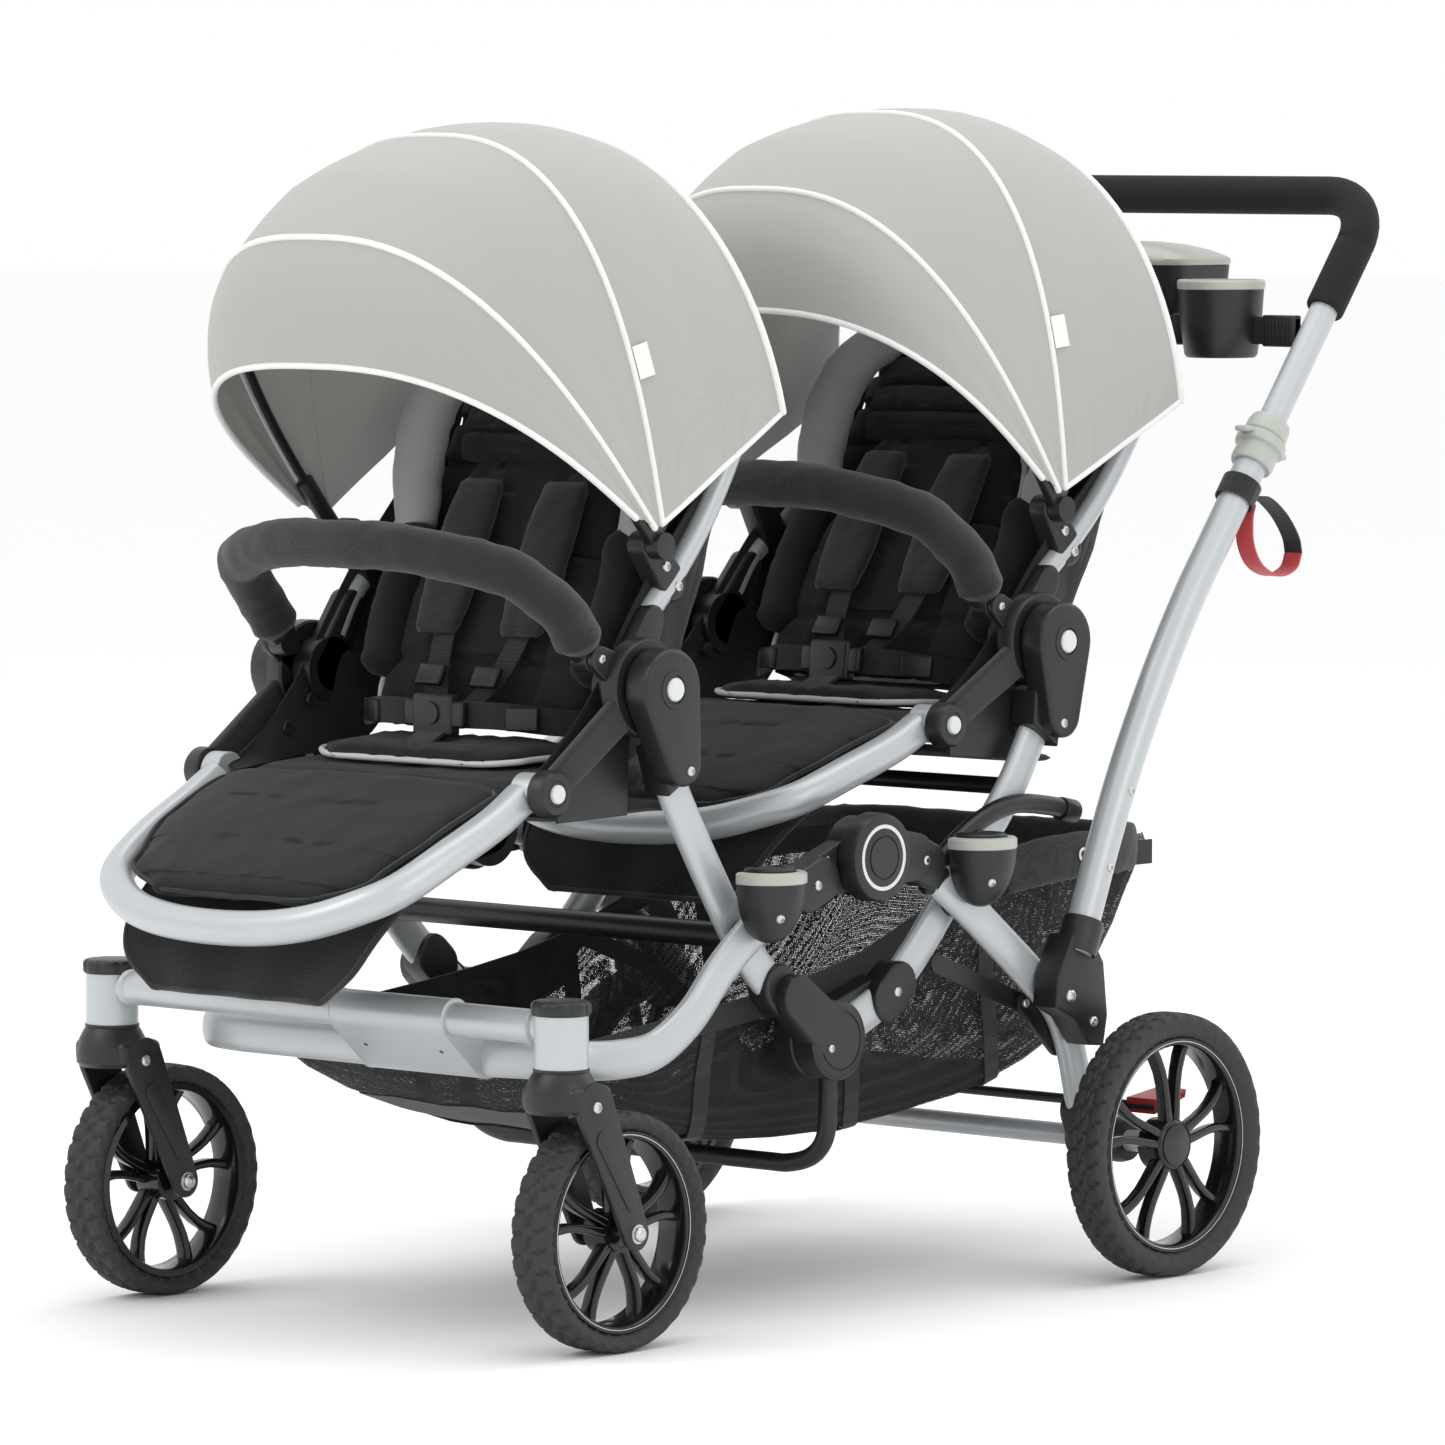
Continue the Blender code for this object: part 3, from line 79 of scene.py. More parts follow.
TOP_HUB = side_view("frame_fold")
FRONT_CROSSING = side_view("front_support_fold")
REAR_CROSSING = side_view("rear_support_fold")
LOWER_HUB = (TOP_HUB[0] - 0.032, TOP_HUB[1] - 0.164)
REAR_AXLE = side_view("rear_wheel_spin_left")
LEG_X = 0.236
SUPPORT_X = 0.214
PUSH_X = 0.268


def seat_frame_of(end):
    """The matrix from a seat's own frame to the stroller's."""
    hub, foot = pivot(f"{end}_recline"), pivot(f"{end}_footrest_tilt")
    upright = pivot("front_footrest_tilt") - pivot("front_recline")
    lean = math.atan2(upright.z, upright.y) - math.atan2(foot.z - hub.z, foot.y - hub.y)
    lean = (lean + math.pi) % (2 * math.pi) - math.pi
    return Matrix.Translation(hub) @ Matrix.Rotation(-lean, 4, "X")


SEAT = {end: seat_frame_of(end) for end in ENDS}

# ---------------------------------------------------------------- camera, light and floor


def camera_and_studio():
    camera = bpy.data.objects.new("camera", bpy.data.cameras.new("camera"))
    camera.location = (5.302, -5.435 + AXLE_Y, 1.066)
    azimuth, pitch = math.radians(42.0), math.radians(4.02)
    camera.rotation_euler = (math.pi / 2 - pitch, 0.0, azimuth)
    camera.data.lens = 214.6
    camera.data.sensor_width = 36.0
    camera.data.clip_end = 60.0
    bpy.context.scene.collection.objects.link(camera)
    bpy.context.scene.camera = camera
    floor_mesh = bpy.data.meshes.new("floor")
    size = 40.0
    corners = [(-size, -size, 0), (size, -size, 0), (size, size, 0), (-size, size, 0)]
    floor_mesh.from_pydata(corners, [], [(0, 1, 2, 3)])
    floor = bpy.data.objects.new("floor", floor_mesh)
    floor.data.materials.append(simple_material("floor", (0.97, 0.97, 0.97), 0.8))
    bpy.context.scene.collection.objects.link(floor)
    bpy.context.scene.view_settings.view_transform = "Standard"
    lights = (
        ("key", (-1.6, -4.2, 4.6), 3.4, 70.0),
        ("side", (5.2, -0.8, 2.6), 3.0, 30.0),
        ("top", (0.2, 0.8, 5.0), 4.0, 60.0),
        ("back", (1.0, 5.0, 3.0), 3.0, 25.0),
    )
    for name, place, width, power in lights:
        data = bpy.data.lights.new(name, "AREA")
        data.shape = "DISK"
        data.size = width
        data.energy = power
        light = bpy.data.objects.new(name, data)
        light.location = place
        light.rotation_euler = (Vector((0, 0, 0.5)) - Vector(place)).to_track_quat("-Z", "Y").to_euler()
        bpy.context.scene.collection.objects.link(light)
    world = bpy.data.worlds.new("studio")
    world.use_nodes = True
    background = world.node_tree.nodes["Background"]
    background.inputs["Color"].default_value = (1.0, 1.0, 1.0, 1.0)
    background.inputs["Strength"].default_value = 1.0
    bpy.context.scene.world = world


# ---------------------------------------------------------------- materials


def simple_material(name, colour, roughness, metallic=0.0):
    made = bpy.data.materials.new(name)
    made.use_nodes = True
    shader = made.node_tree.nodes["Principled BSDF"]
    shader.inputs["Base Color"].default_value = (*colour, 1.0)
    shader.inputs["Roughness"].default_value = roughness
    shader.inputs["Metallic"].default_value = metallic
    return made


class Nodes:
    """A short way to wire one material."""

    def __init__(self, material):
        self.tree = material.node_tree
        self.shader = self.tree.nodes["Principled BSDF"]
        self.place = self.add("ShaderNodeTexCoord").outputs["Object"]

    def add(self, kind, **values):
        node = self.tree.nodes.new(kind)
        for key, value in values.items():
            if key in node.inputs:
                node.inputs[key].default_value = value
            else:
                setattr(node, key, value)
        return node

    def link(self, output, to):
        self.tree.links.new(output, to)

    def noise(self, scale, detail=3.0, rough=0.55):
        node = self.add("ShaderNodeTexNoise", Scale=scale, Detail=detail, Roughness=rough)
        self.link(self.place, node.inputs["Vector"])
        return node.outputs["Fac"]

    def bands(self, scale, direction, distortion=0.0):
        node = self.add("ShaderNodeTexWave", wave_type="BANDS", bands_direction=direction)
        node.inputs["Scale"].default_value = scale
        node.inputs["Distortion"].default_value = distortion
        self.link(self.place, node.inputs["Vector"])
        return node.outputs["Fac"]

    def math(self, operation, a, b):
        node = self.add("ShaderNodeMath", operation=operation)
        for slot, value in zip(node.inputs, (a, b)):
            if isinstance(value, (int, float)):
                slot.default_value = value
            else:
                self.link(value, slot)
        return node.outputs[0]

    def tint(self, factor, dark, light):
        node = self.add("ShaderNodeMix", data_type="RGBA")
        node.inputs[6].default_value = (*dark, 1.0)
        node.inputs[7].default_value = (*light, 1.0)
        self.link(factor, node.inputs[0])
        self.link(node.outputs[2], self.shader.inputs["Base Color"])

    def roughen(self, factor, low, high):
        node = self.add("ShaderNodeMapRange")
        node.inputs["To Min"].default_value = low
        node.inputs["To Max"].default_value = high
        self.link(factor, node.inputs["Value"])
        self.link(node.outputs["Result"], self.shader.inputs["Roughness"])

    def bump(self, height, distance, strength=1.0):
        node = self.add("ShaderNodeBump", Strength=strength, Distance=distance)
        self.link(height, node.inputs["Height"])
        self.link(node.outputs["Normal"], self.shader.inputs["Normal"])


def scaled(colour, factor):
    return tuple(min(1.0, c * factor) for c in colour)


def moulded(name, colour, roughness, grain=900.0, depth=0.00012, spread=0.12, metallic=0.0):
    """Plastic, rubber or paint: a fine grain, and small shifts of shade and gloss."""
    made = simple_material(name, colour, roughness, metallic)
    nodes = Nodes(made)
    soft = nodes.noise(9.0, 4.0)
    fine = nodes.noise(grain, 2.0)
    nodes.tint(soft, scaled(colour, 1 - spread), scaled(colour, 1 + spread))
    nodes.roughen(nodes.math("ADD", nodes.math("MULTIPLY", soft, 0.6),
                             nodes.math("MULTIPLY", fine, 0.4)),
                  roughness * 0.85, min(1.0, roughness * 1.15))
    nodes.bump(fine, depth)
    return made


def woven(name, colour, thread=0.0011, depth=0.00022, sheen=0.35, roughness=0.88, spread=0.22,
          folds=0.0):
    """Cloth: threads crossing on all three axes, a little fuzz, and optional soft creases."""
    made = simple_material(name, colour, roughness)
    nodes = Nodes(made)
    scale = 0.32 / thread
    weave = nodes.bands(scale, "X", 0.4)
    weave = nodes.math("MAXIMUM", weave, nodes.bands(scale, "Y", 0.4))
    weave = nodes.math("MAXIMUM", weave, nodes.bands(scale, "Z", 0.4))
    fuzz = nodes.noise(1400.0, 2.0)
    height = nodes.math("ADD", weave, nodes.math("MULTIPLY", fuzz, 0.5))
    if folds:
        creases = nodes.noise(22.0, 3.0, 0.5)
        height = nodes.math("ADD", height, nodes.math("MULTIPLY", creases, folds / depth))
    soft = nodes.noise(7.0, 3.0)
    shade = nodes.math("ADD", nodes.math("MULTIPLY", soft, 0.55),
                       nodes.math("MULTIPLY", weave, 0.45))
    nodes.tint(shade, scaled(colour, 1 - spread), scaled(colour, 1 + spread))
    nodes.roughen(weave, roughness * 0.93, min(1.0, roughness * 1.08))
    nodes.bump(height, depth)
    nodes.shader.inputs["Sheen Weight"].default_value = sheen
    nodes.shader.inputs["Sheen Roughness"].default_value = 0.5
    return made


def netting(name, colour, hole=0.0014, openness=0.44):
    """Knitted mesh: round holes that let what is behind show through."""
    made = simple_material(name, colour, 0.8)
    nodes = Nodes(made)
    cells = nodes.add("ShaderNodeTexVoronoi", Scale=1.0 / hole, feature="F1")
    cells.inputs["Randomness"].default_value = 0.25
    nodes.link(nodes.place, cells.inputs["Vector"])
    solid = nodes.math("GREATER_THAN", cells.outputs["Distance"], openness)
    nodes.link(solid, nodes.shader.inputs["Alpha"])
    nodes.tint(nodes.noise(12.0), scaled(colour, 0.8), scaled(colour, 1.25))
    nodes.bump(cells.outputs["Distance"], 0.0004)
    return made


PAINT = moulded("frame_paint", (0.50, 0.53, 0.545), 0.34, 1600.0, 0.00004, 0.03, 0.35)
BLACK_PAINT = moulded("black_paint", (0.009, 0.009, 0.010), 0.36, 1200.0, 0.00005)
PLASTIC = moulded("black_plastic", (0.012, 0.0125, 0.013), 0.40, 1100.0, 0.00010)
GLOSS = moulded("rim_plastic", (0.0065, 0.0065, 0.007), 0.16, 300.0, 0.00003)
GREY = moulded("grey_plastic", (0.43, 0.455, 0.41), 0.36, 1000.0, 0.00006, 0.04)
WHITE = moulded("white_plastic", (0.66, 0.68, 0.68), 0.35, 1000.0, 0.00005, 0.03)
TYRE = moulded("tyre_rubber", (0.022, 0.023, 0.024), 0.66, 700.0, 0.00018)
FOAM = moulded("grip_foam", (0.006, 0.006, 0.0065), 0.94, 620.0, 0.00045, 0.2)
NICKEL = moulded("nickel", (0.62, 0.60, 0.57), 0.28, 500.0, 0.00003, 0.05, 1.0)
RED = woven("red_webbing", (0.55, 0.045, 0.05), 0.0016, 0.0003)
RED_PLASTIC = moulded("red_plastic", (0.42, 0.02, 0.025), 0.4)
CANOPY = woven("canopy_fabric", (0.40, 0.393, 0.375), 0.0008, 0.00010, 0.20, 0.82, 0.035)
LINING = woven("canopy_lining", (0.47, 0.465, 0.445), 0.0010, 0.00014, 0.25, 0.85, 0.05)
PIPING = woven("white_piping", (0.80, 0.81, 0.79), 0.0009, 0.00012, 0.2, 0.7, 0.04)
BOLSTER = woven("grey_bolster", (0.42, 0.42, 0.415), 0.0010, 0.00015, 0.3, 0.85, 0.08, 0.0015)
REFLECTIVE = woven("reflective_piping", (0.60, 0.61, 0.60), 0.0009, 0.00010, 0.1, 0.5, 0.06)
SEAT_CLOTH = woven("seat_fabric", (0.0035, 0.0035, 0.004), 0.0010, 0.00020, 0.10, 0.85, 0.35,
                   0.0012)
SLEEVE_CLOTH = woven("bumper_fabric", (0.011, 0.0115, 0.012), 0.0010, 0.00022, 0.25, 0.88, 0.30,
                     0.0010)
WEBBING = woven("black_webbing", (0.009, 0.009, 0.0095), 0.0018, 0.00040, 0.2, 0.8, 0.3)
MESH = netting("basket_mesh", (0.012, 0.012, 0.013))

# ---------------------------------------------------------------- shape helpers


def piece(name, data, material, body, *nodes, slot=None, smooth=40.0):
    """Links a mesh as a piece that rides on a body and stands for the CAD nodes named."""
    obj = bpy.data.objects.new(name, data)
    bpy.context.scene.collection.objects.link(obj)
    for one in material if isinstance(material, (list, tuple)) else [material]:
        data.materials.append(one)
    if smooth:
        data.shade_smooth()
        data.set_sharp_from_angle(angle=math.radians(smooth))
    if body:
        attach(obj, body)
    if nodes:
        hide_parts(*nodes)
    return obj


def mesh_from(verts, faces, name="mesh"):
    data = bpy.data.meshes.new(name)
    data.from_pydata([tuple(v) for v in verts], [], faces)
    bm = bmesh.new()
    bm.from_mesh(data)
    bmesh.ops.remove_doubles(bm, verts=bm.verts, dist=1e-6)
    bmesh.ops.recalc_face_normals(bm, faces=bm.faces)
    bm.to_mesh(data)
    bm.free()
    return data


def joined(parts, name="joined"):
    """One mesh from several, each kept as its own closed island."""
    bm = bmesh.new()
    for part in parts:
        bm.from_mesh(part)
    data = bpy.data.meshes.new(name)
    bm.to_mesh(data)
    bm.free()
    return data


def moved(data, matrix):
    data.transform(matrix)
    if matrix.determinant() < 0:
        data.flip_normals()
    return data


def mirrored_in_x(data):
    return moved(data.copy(), Matrix.Scale(-1, 4, X_AXIS))


def curve_through(points, steps=6):
    """A centripetal-looking Catmull-Rom curve read at even steps of each span."""
    pts = [Vector(p) for p in points]
    padded = [2 * pts[0] - pts[1], *pts, 2 * pts[-1] - pts[-2]]
    path = []
    for a, b, c, d in zip(padded, padded[1:], padded[2:], padded[3:]):
        for i in range(steps):
            t = i / steps
            linear = 2 * b + (c - a) * t
            bent = (2 * a - 5 * b + 4 * c - d) * t * t + (3 * b - a - 3 * c + d) * t ** 3
            path.append(0.5 * (linear + bent))
    return [*path, pts[-1]]


def ring(half_across, half_up, sides=20, power=1.0):
    """A closed section; a power under 1 squares it off."""
    points = []
    for i in range(sides):
        a = 2 * math.pi * i / sides
        c, s = math.cos(a), math.sin(a)
        points.append((half_across * math.copysign(abs(c) ** power, c),
                       half_up * math.copysign(abs(s) ** power, s)))
    return points


def carried_frames(path, up):
    """(across, up) at each point of a path, carried along it without twist."""
    tangents = []
    for i in range(len(path)):
        ahead = path[min(i + 1, len(path) - 1)] - path[max(i - 1, 0)]
        tangents.append(ahead.normalized())
    across = tangents[0].cross(Vector(up)).normalized()
    frames = [(across, across.cross(tangents[0]))]
    for before, after in zip(tangents, tangents[1:]):
        turn = before.rotation_difference(after)
        across, rise = frames[-1]
        frames.append((turn @ across, turn @ rise))
    return frames


def sweep(path, section, up=(0, 0, 1), scale=None, ends="flat", closed=False, dome=None):
    """A solid from one section carried along a path; round ends close as domes."""
    path = [Vector(p) for p in path]
    frames = carried_frames(path, up)
    scales = [1.0 if scale is None else scale(i / (len(path) - 1)) for i in range(len(path))]
    rings = [(p, f, s) for p, f, s in zip(path, frames, scales)]
    if ends == "round":
        reach = dome or max(abs(v) for pair in section for v in pair)
        first = (path[0] - path[1]).normalized()
        last = (path[-1] - path[-2]).normalized()
        heads, tails = [], []
        for k in (0.95, 0.8, 0.55, 0.2):
            out = math.sqrt(1 - k * k) * reach * 0.75
            heads.append((path[0] + first * out * scales[0], frames[0], scales[0] * k))
            tails.append((path[-1] + last * out * scales[-1], frames[-1], scales[-1] * k))
        rings = heads[::-1] + rings + tails
    verts, faces = [], []
    count = len(section)
    for place, (across, rise), k in rings:
        for a, b in section:
            verts.append(place + across * (a * k) + rise * (b * k))
    total = len(rings)
    for i in range(total if closed else total - 1):
        for j in range(count):
            k = (j + 1) % count
            after = (i + 1) % total
            faces.append((i * count + j, i * count + k, after * count + k, after * count + j))
    if not closed:
        faces.append(tuple(range(count))[::-1])
        faces.append(tuple(range((total - 1) * count, total * count)))
    return mesh_from(verts, faces)


def tube(points, radius, steps=6, sides=20, up=(0, 0, 1), scale=None, ends="flat"):
    return sweep(curve_through(points, steps), ring(radius, radius, sides), up, scale, ends)


def lathe(profile, place, axis, steps=48, closed=False):
    """Turns (radius, distance along the axis) pairs; a closed profile makes a ring."""
    turn = Z_AXIS.rotation_difference(Vector(axis).normalized()).to_matrix().to_4x4()
    matrix = Matrix.Translation(place) @ turn
    verts, faces, rows = [], [], []
    for radius, along in profile:
        row = []
        count = 1 if radius < 1e-7 else steps
        for i in range(count):
            a = 2 * math.pi * i / steps
            row.append(len(verts))
            verts.append(matrix @ Vector((radius * math.cos(a), radius * math.sin(a), along)))
        rows.append(row)
    pairs = list(zip(rows, rows[1:])) + ([(rows[-1], rows[0])] if closed else [])
    for low, high in pairs:
        for i in range(steps):
            j = (i + 1) % steps
            corners = [low[i % len(low)], low[j % len(low)], high[j % len(high)],
                       high[i % len(high)]]
            corners = list(dict.fromkeys(corners))
            if len(corners) > 2:
                faces.append(tuple(corners))
    if not closed:
        for row in (rows[0], rows[-1]):
            if len(row) > 1:
                faces.append(tuple(row))
    return mesh_from(verts, faces)


def rounded_disc(radius, thickness, edge, place, axis, steps=40, inner=0.0):
    """A disc with rounded rims, its back face at place."""
    profile = [(inner, 0.0), (radius - edge * 0.3, 0.0), (radius, edge * 0.3),
               (radius, thickness - edge)]
    for i in range(1, 5):
        a = math.pi / 2 * i / 4
        profile.append((radius - edge * (1 - math.cos(a)), thickness - edge * (1 - math.sin(a))))
    profile.append((inner, thickness))
    return lathe(profile, place, axis, steps, closed=inner > 0)


def arc(centre, radius, start, end, steps=10):
    angles = [math.radians(start + (end - start) * i / steps) for i in range(steps + 1)]
    return [(centre[0] + radius * math.cos(a), centre[1] + radius * math.sin(a)) for a in angles]


def strap_outline(a, a_radius, b, b_radius, steps=12):
    """A flat link with a round end about each of two points, in the side view."""
    heading = math.degrees(math.atan2(b[1] - a[1], b[0] - a[0]))
    lean = math.degrees(math.asin((a_radius - b_radius) / math.dist(a, b)))
    top, bottom = heading + 90 - lean, heading + 270 + lean
    return arc(a, a_radius, top, bottom, steps) + arc(b, b_radius, bottom, top + 360, steps)


def plate(outline, x_range, edge=0.0015, origin_y=None):
    """A side-view outline extruded along X with its edges rounded."""
    shift = AXLE_Y if origin_y is None else origin_y
    bm = bmesh.new()
    low, high = min(x_range), max(x_range)
    near = [bm.verts.new((low, y + shift, z)) for y, z in outline]
    far = [bm.verts.new((high, y + shift, z)) for y, z in outline]
    bm.faces.new(near)
    bm.faces.new(far[::-1])
    for i in range(len(outline)):
        j = (i + 1) % len(outline)
        bm.faces.new((near[i], far[i], far[j], near[j]))
    bmesh.ops.recalc_face_normals(bm, faces=bm.faces)
    rims = [e for e in bm.edges if abs(e.verts[0].co.x - e.verts[1].co.x) < 1e-9]
    if edge:
        bmesh.ops.bevel(bm, geom=rims, offset=edge, segments=3, affect="EDGES", profile=0.5)
    data = bpy.data.meshes.new("plate")
    bm.to_mesh(data)
    bm.free()
    return data


def box(low, high, edge=0.002, segments=3):
    bm = bmesh.new()
    bmesh.ops.create_cube(bm, size=1.0)
    size = Vector(high) - Vector(low)
    bmesh.ops.scale(bm, vec=size, verts=bm.verts)
    bmesh.ops.translate(bm, vec=(Vector(low) + Vector(high)) / 2, verts=bm.verts)
    bmesh.ops.bevel(bm, geom=bm.edges[:], offset=edge, segments=segments, affect="EDGES",
                    profile=0.5)
    data = bpy.data.meshes.new("box")
    bm.to_mesh(data)
    bm.free()
    return data


def screw_head(place, axis, radius=0.0045):
    """A domed head with a round recess in its top."""
    axis = Vector(axis).normalized()
    r = radius
    dome = [(r, -0.001), (r, r * 0.15), (r * 0.85, r * 0.42), (r * 0.55, r * 0.55),
            (r * 0.5, r * 0.55)]
    dome += [(r * 0.45, r * 0.25), (0.0, r * 0.25)]
    return lathe(dome, place, axis, 18)


def span(low, high, side):
    return tuple(sorted((side * low, side * high)))


def bisected(data, place, normal):
    """Keeps the half on the normal's side and closes the cut."""
    bm = bmesh.new()
    bm.from_mesh(data)
    everything = bm.verts[:] + bm.edges[:] + bm.faces[:]
    cut = bmesh.ops.bisect_plane(bm, geom=everything, plane_co=place, plane_no=normal,
                                 clear_inner=True)
    edges = [e for e in cut["geom_cut"] if isinstance(e, bmesh.types.BMEdge)]
    bmesh.ops.contextual_create(bm, geom=edges)
    bm.to_mesh(data)
    bm.free()
    return data


def read_along(values, t):
    """A number from a list spread evenly over 0 to 1, smoothly."""
    if isinstance(values, (int, float)):
        return values
    where = max(0.0, min(1.0, t)) * (len(values) - 1)
    i = min(int(where), len(values) - 2)
    f = where - i
    f = f * f * (3 - 2 * f)
    return values[i] * (1 - f) + values[i + 1] * f


def thickened(rows, wall):
    """A closed thin sheet through rows of points, grown evenly to both sides."""
    high, wide = len(rows), len(rows[0])
    grid = [[Vector(p) for p in row] for row in rows]
    normals = []
    for i in range(high):
        for j in range(wide):
            down = grid[min(i + 1, high - 1)][j] - grid[max(i - 1, 0)][j]
            along = grid[i][min(j + 1, wide - 1)] - grid[i][max(j - 1, 0)]
            normal = down.cross(along)
            normals.append(normal.normalized() if normal.length > 1e-12 else Vector((0, 0, 1)))
    flat = [p for row in grid for p in row]
    verts = [p + n * wall / 2 for p, n in zip(flat, normals)]
    verts += [p - n * wall / 2 for p, n in zip(flat, normals)]
    total = high * wide
    faces = []
    for i in range(high - 1):
        for j in range(wide - 1):
            a, b = i * wide + j, (i + 1) * wide + j
            faces.append((a, a + 1, b + 1, b))
            faces.append((b + total, b + 1 + total, a + 1 + total, a + total))
    rim = [j for j in range(wide)] + [i * wide + wide - 1 for i in range(1, high)]
    rim += [(high - 1) * wide + j for j in range(wide - 2, -1,
                                                 -1)] + [i * wide for i in range(high - 2, 0, -1)]
    for a, b in zip(rim, rim[1:] + rim[:1]):
        faces.append((b, a, a + total, b + total))
    return mesh_from(verts, faces)


def cloth(name, rows, material, body, *nodes, flat, held, rests_on, wall=0.0012, slot=None,
          matrix=None):
    """A sheet of cloth through rows of points."""
    data = thickened(rows, wall)
    if matrix is not None:
        moved(data, matrix)
    obj = piece(name, data, material, body, *nodes, slot=slot, smooth=60)
    return obj


def pillow(path, half_width, thick, back=0.55, seams=(), ribs=(), steps=(30, 40), power=6.0,
           hollow=0.0):
    """A stuffed pad along a side-view path, swelling between its edges; seams and ribs pinch it in.

    seams are shares across, ribs are shares along. hollow bends the sides up.
    """
    across, along = steps
    line = curve_through([(0.0, *p) if len(p) == 2 else p for p in path], 10)
    top, bottom = [], []
    for i in range(along + 1):
        v = i / along
        place = line[round(v * (len(line) - 1))]
        ahead = line[min(round(v * (len(line) - 1)) + 1, len(line) - 1)]
        behind = line[max(round(v * (len(line) - 1)) - 1, 0)]
        tangent = (ahead - behind).normalized()
        rise = X_AXIS.cross(tangent).normalized()
        width, swell = read_along(half_width, v), read_along(thick, v)
        fade = (1 - abs(2 * v - 1) ** 10) ** 0.5 if 0 < v < 1 else 0.0
        for rib in ribs:
            fade *= 1 - 0.42 * math.exp(-((v - rib) / 0.014) ** 2)
        up_row, low_row = [], []
        for j in range(across + 1):
            u = -1 + 2 * j / across
            u = math.sin(u * math.pi / 2) * 0.45 + u * 0.55
            round_off = (1 - abs(u) ** power) ** 0.5 if abs(u) < 1 else 0.0
            for seam in seams:
                round_off *= 1 - 0.42 * math.exp(-((abs(u) - seam) / 0.03) ** 2)
            middle = place + X_AXIS * (u * width * (0.86 + 0.14 * min(1.0, fade * 1.6))) + rise * (hollow * u * u)
            up_row.append(middle + rise * (swell * fade * round_off))
            low_row.append(middle - rise * (swell * back * fade * round_off))
        top.append(up_row)
        bottom.append(low_row)
    wide = across + 1
    verts = [p for row in top for p in row] + [p for row in bottom for p in row]
    total = (along + 1) * wide
    faces = []
    for i in range(along):
        for j in range(across):
            a, b = i * wide + j, (i + 1) * wide + j
            faces.append((a, a + 1, b + 1, b))
            faces.append((b + total, b + 1 + total, a + 1 + total, a + total))
    rim = [j for j in range(wide)] + [i * wide + wide - 1 for i in range(1, along + 1)]
    rim += [along * wide + j for j in range(wide - 2, -1,
                                            -1)] + [i * wide for i in range(along - 1, 0, -1)]
    for a, b in zip(rim, rim[1:] + rim[:1]):
        faces.append((b, a, a + total, b + total))
    return mesh_from(verts, faces)


def crumpled(data, amount, size, seed=0.0):
    """Soft, uneven creases, pushed along the normals."""

    normals = [v.normal.copy() for v in data.vertices]
    for vert, normal in zip(data.vertices, normals):
        p = vert.co / size + Vector((seed, 2 * seed, 3 * seed))
        ridge = 1 - abs(noise.noise(p))
        fine = noise.noise(p * 2.7)
        vert.co += normal * (amount * (ridge ** 3 - 0.5 + 0.4 * fine))
    return data


def mirrored_path(half):
    return list(half) + [(-p[0], p[1], p[2]) for p in reversed(half[:-1])]


def in_world(x, places):
    return [at(x, y, z) for y, z in places]


def both_sides(make):
    """One mesh of a piece made for the left and for the right."""
    return joined([make(side) for _, side in SIDES])

# ---------------------------------------------------------------- wheels and casters

WHEELS = {"front": (0.105, 0.044, 0.016, 0.019, 34), "rear": (0.122, 0.040, 0.022, 0.024, 40)}
RIM_WALL = 0.008


def tyre_mesh(place, radius, width, depth, blocks):
    """Curved grooves across the tread and a row of notches in each shoulder."""
    half = width / 2
    outline = [(-0.72, 1.0), (-0.86, 0.8), (-0.97, 0.5), (-1.0, 0.33), (-0.95, 0.17), (-0.84, 0.08)]
    outline += [(-0.70, 0.04), (-0.55, 0.02), (-0.4, 0.008), (-0.26, 0.0), (-0.13, 0.0), (0.0, 0.0)]
    outline += [(-a, b) for a, b in outline[-2::-1]]
    steps = blocks * 6
    verts, faces = [], []
    for i in range(steps):
        a = 2 * math.pi * i / steps
        for u, low in outline:
            phase = i / 6 + 0.75 * math.sin(u * 1.9)
            cut_in = 0.0
            if abs(u) < 0.88 and phase % 1.0 < 0.17:
                cut_in = 0.0026
            if 0.93 <= abs(u) <= 1.0 and low < 0.55 and (i / 6 + 0.5) % 1.0 < 0.34:
                cut_in = 0.0024
            if abs(u) == 0.26:
                cut_in = 0.0012
            r = radius - depth * low - cut_in
            verts.append(place + Vector((u * half, r * math.cos(a), r * math.sin(a))))
    count = len(outline)
    for i in range(steps):
        for j in range(count):
            k, after = (j + 1) % count, (i + 1) % steps
            faces.append((i * count + j, after * count + j, after * count + k, i * count + k))
    return mesh_from(verts, faces)


def spoke_mesh(place, angle, lean, side, hub_radius, inner, half):
    path = []
    for i in range(7):
        t = i / 6
        a = angle + lean * (0.24 - 0.09 * math.sin(math.pi * t) + 0.02 * t)
        r = hub_radius * 0.75 * (1 - t) + (inner + 0.003) * t
        out = side * half * (0.32 - 0.28 * t * t)
        path.append(place + Vector((out, r * math.cos(a), r * math.sin(a))))
    return sweep(path, ring(0.0046, half * 0.45, 14, 0.55), (1, 0, 0),
                 lambda t: 1.0 - 0.12 * math.sin(math.pi * t))


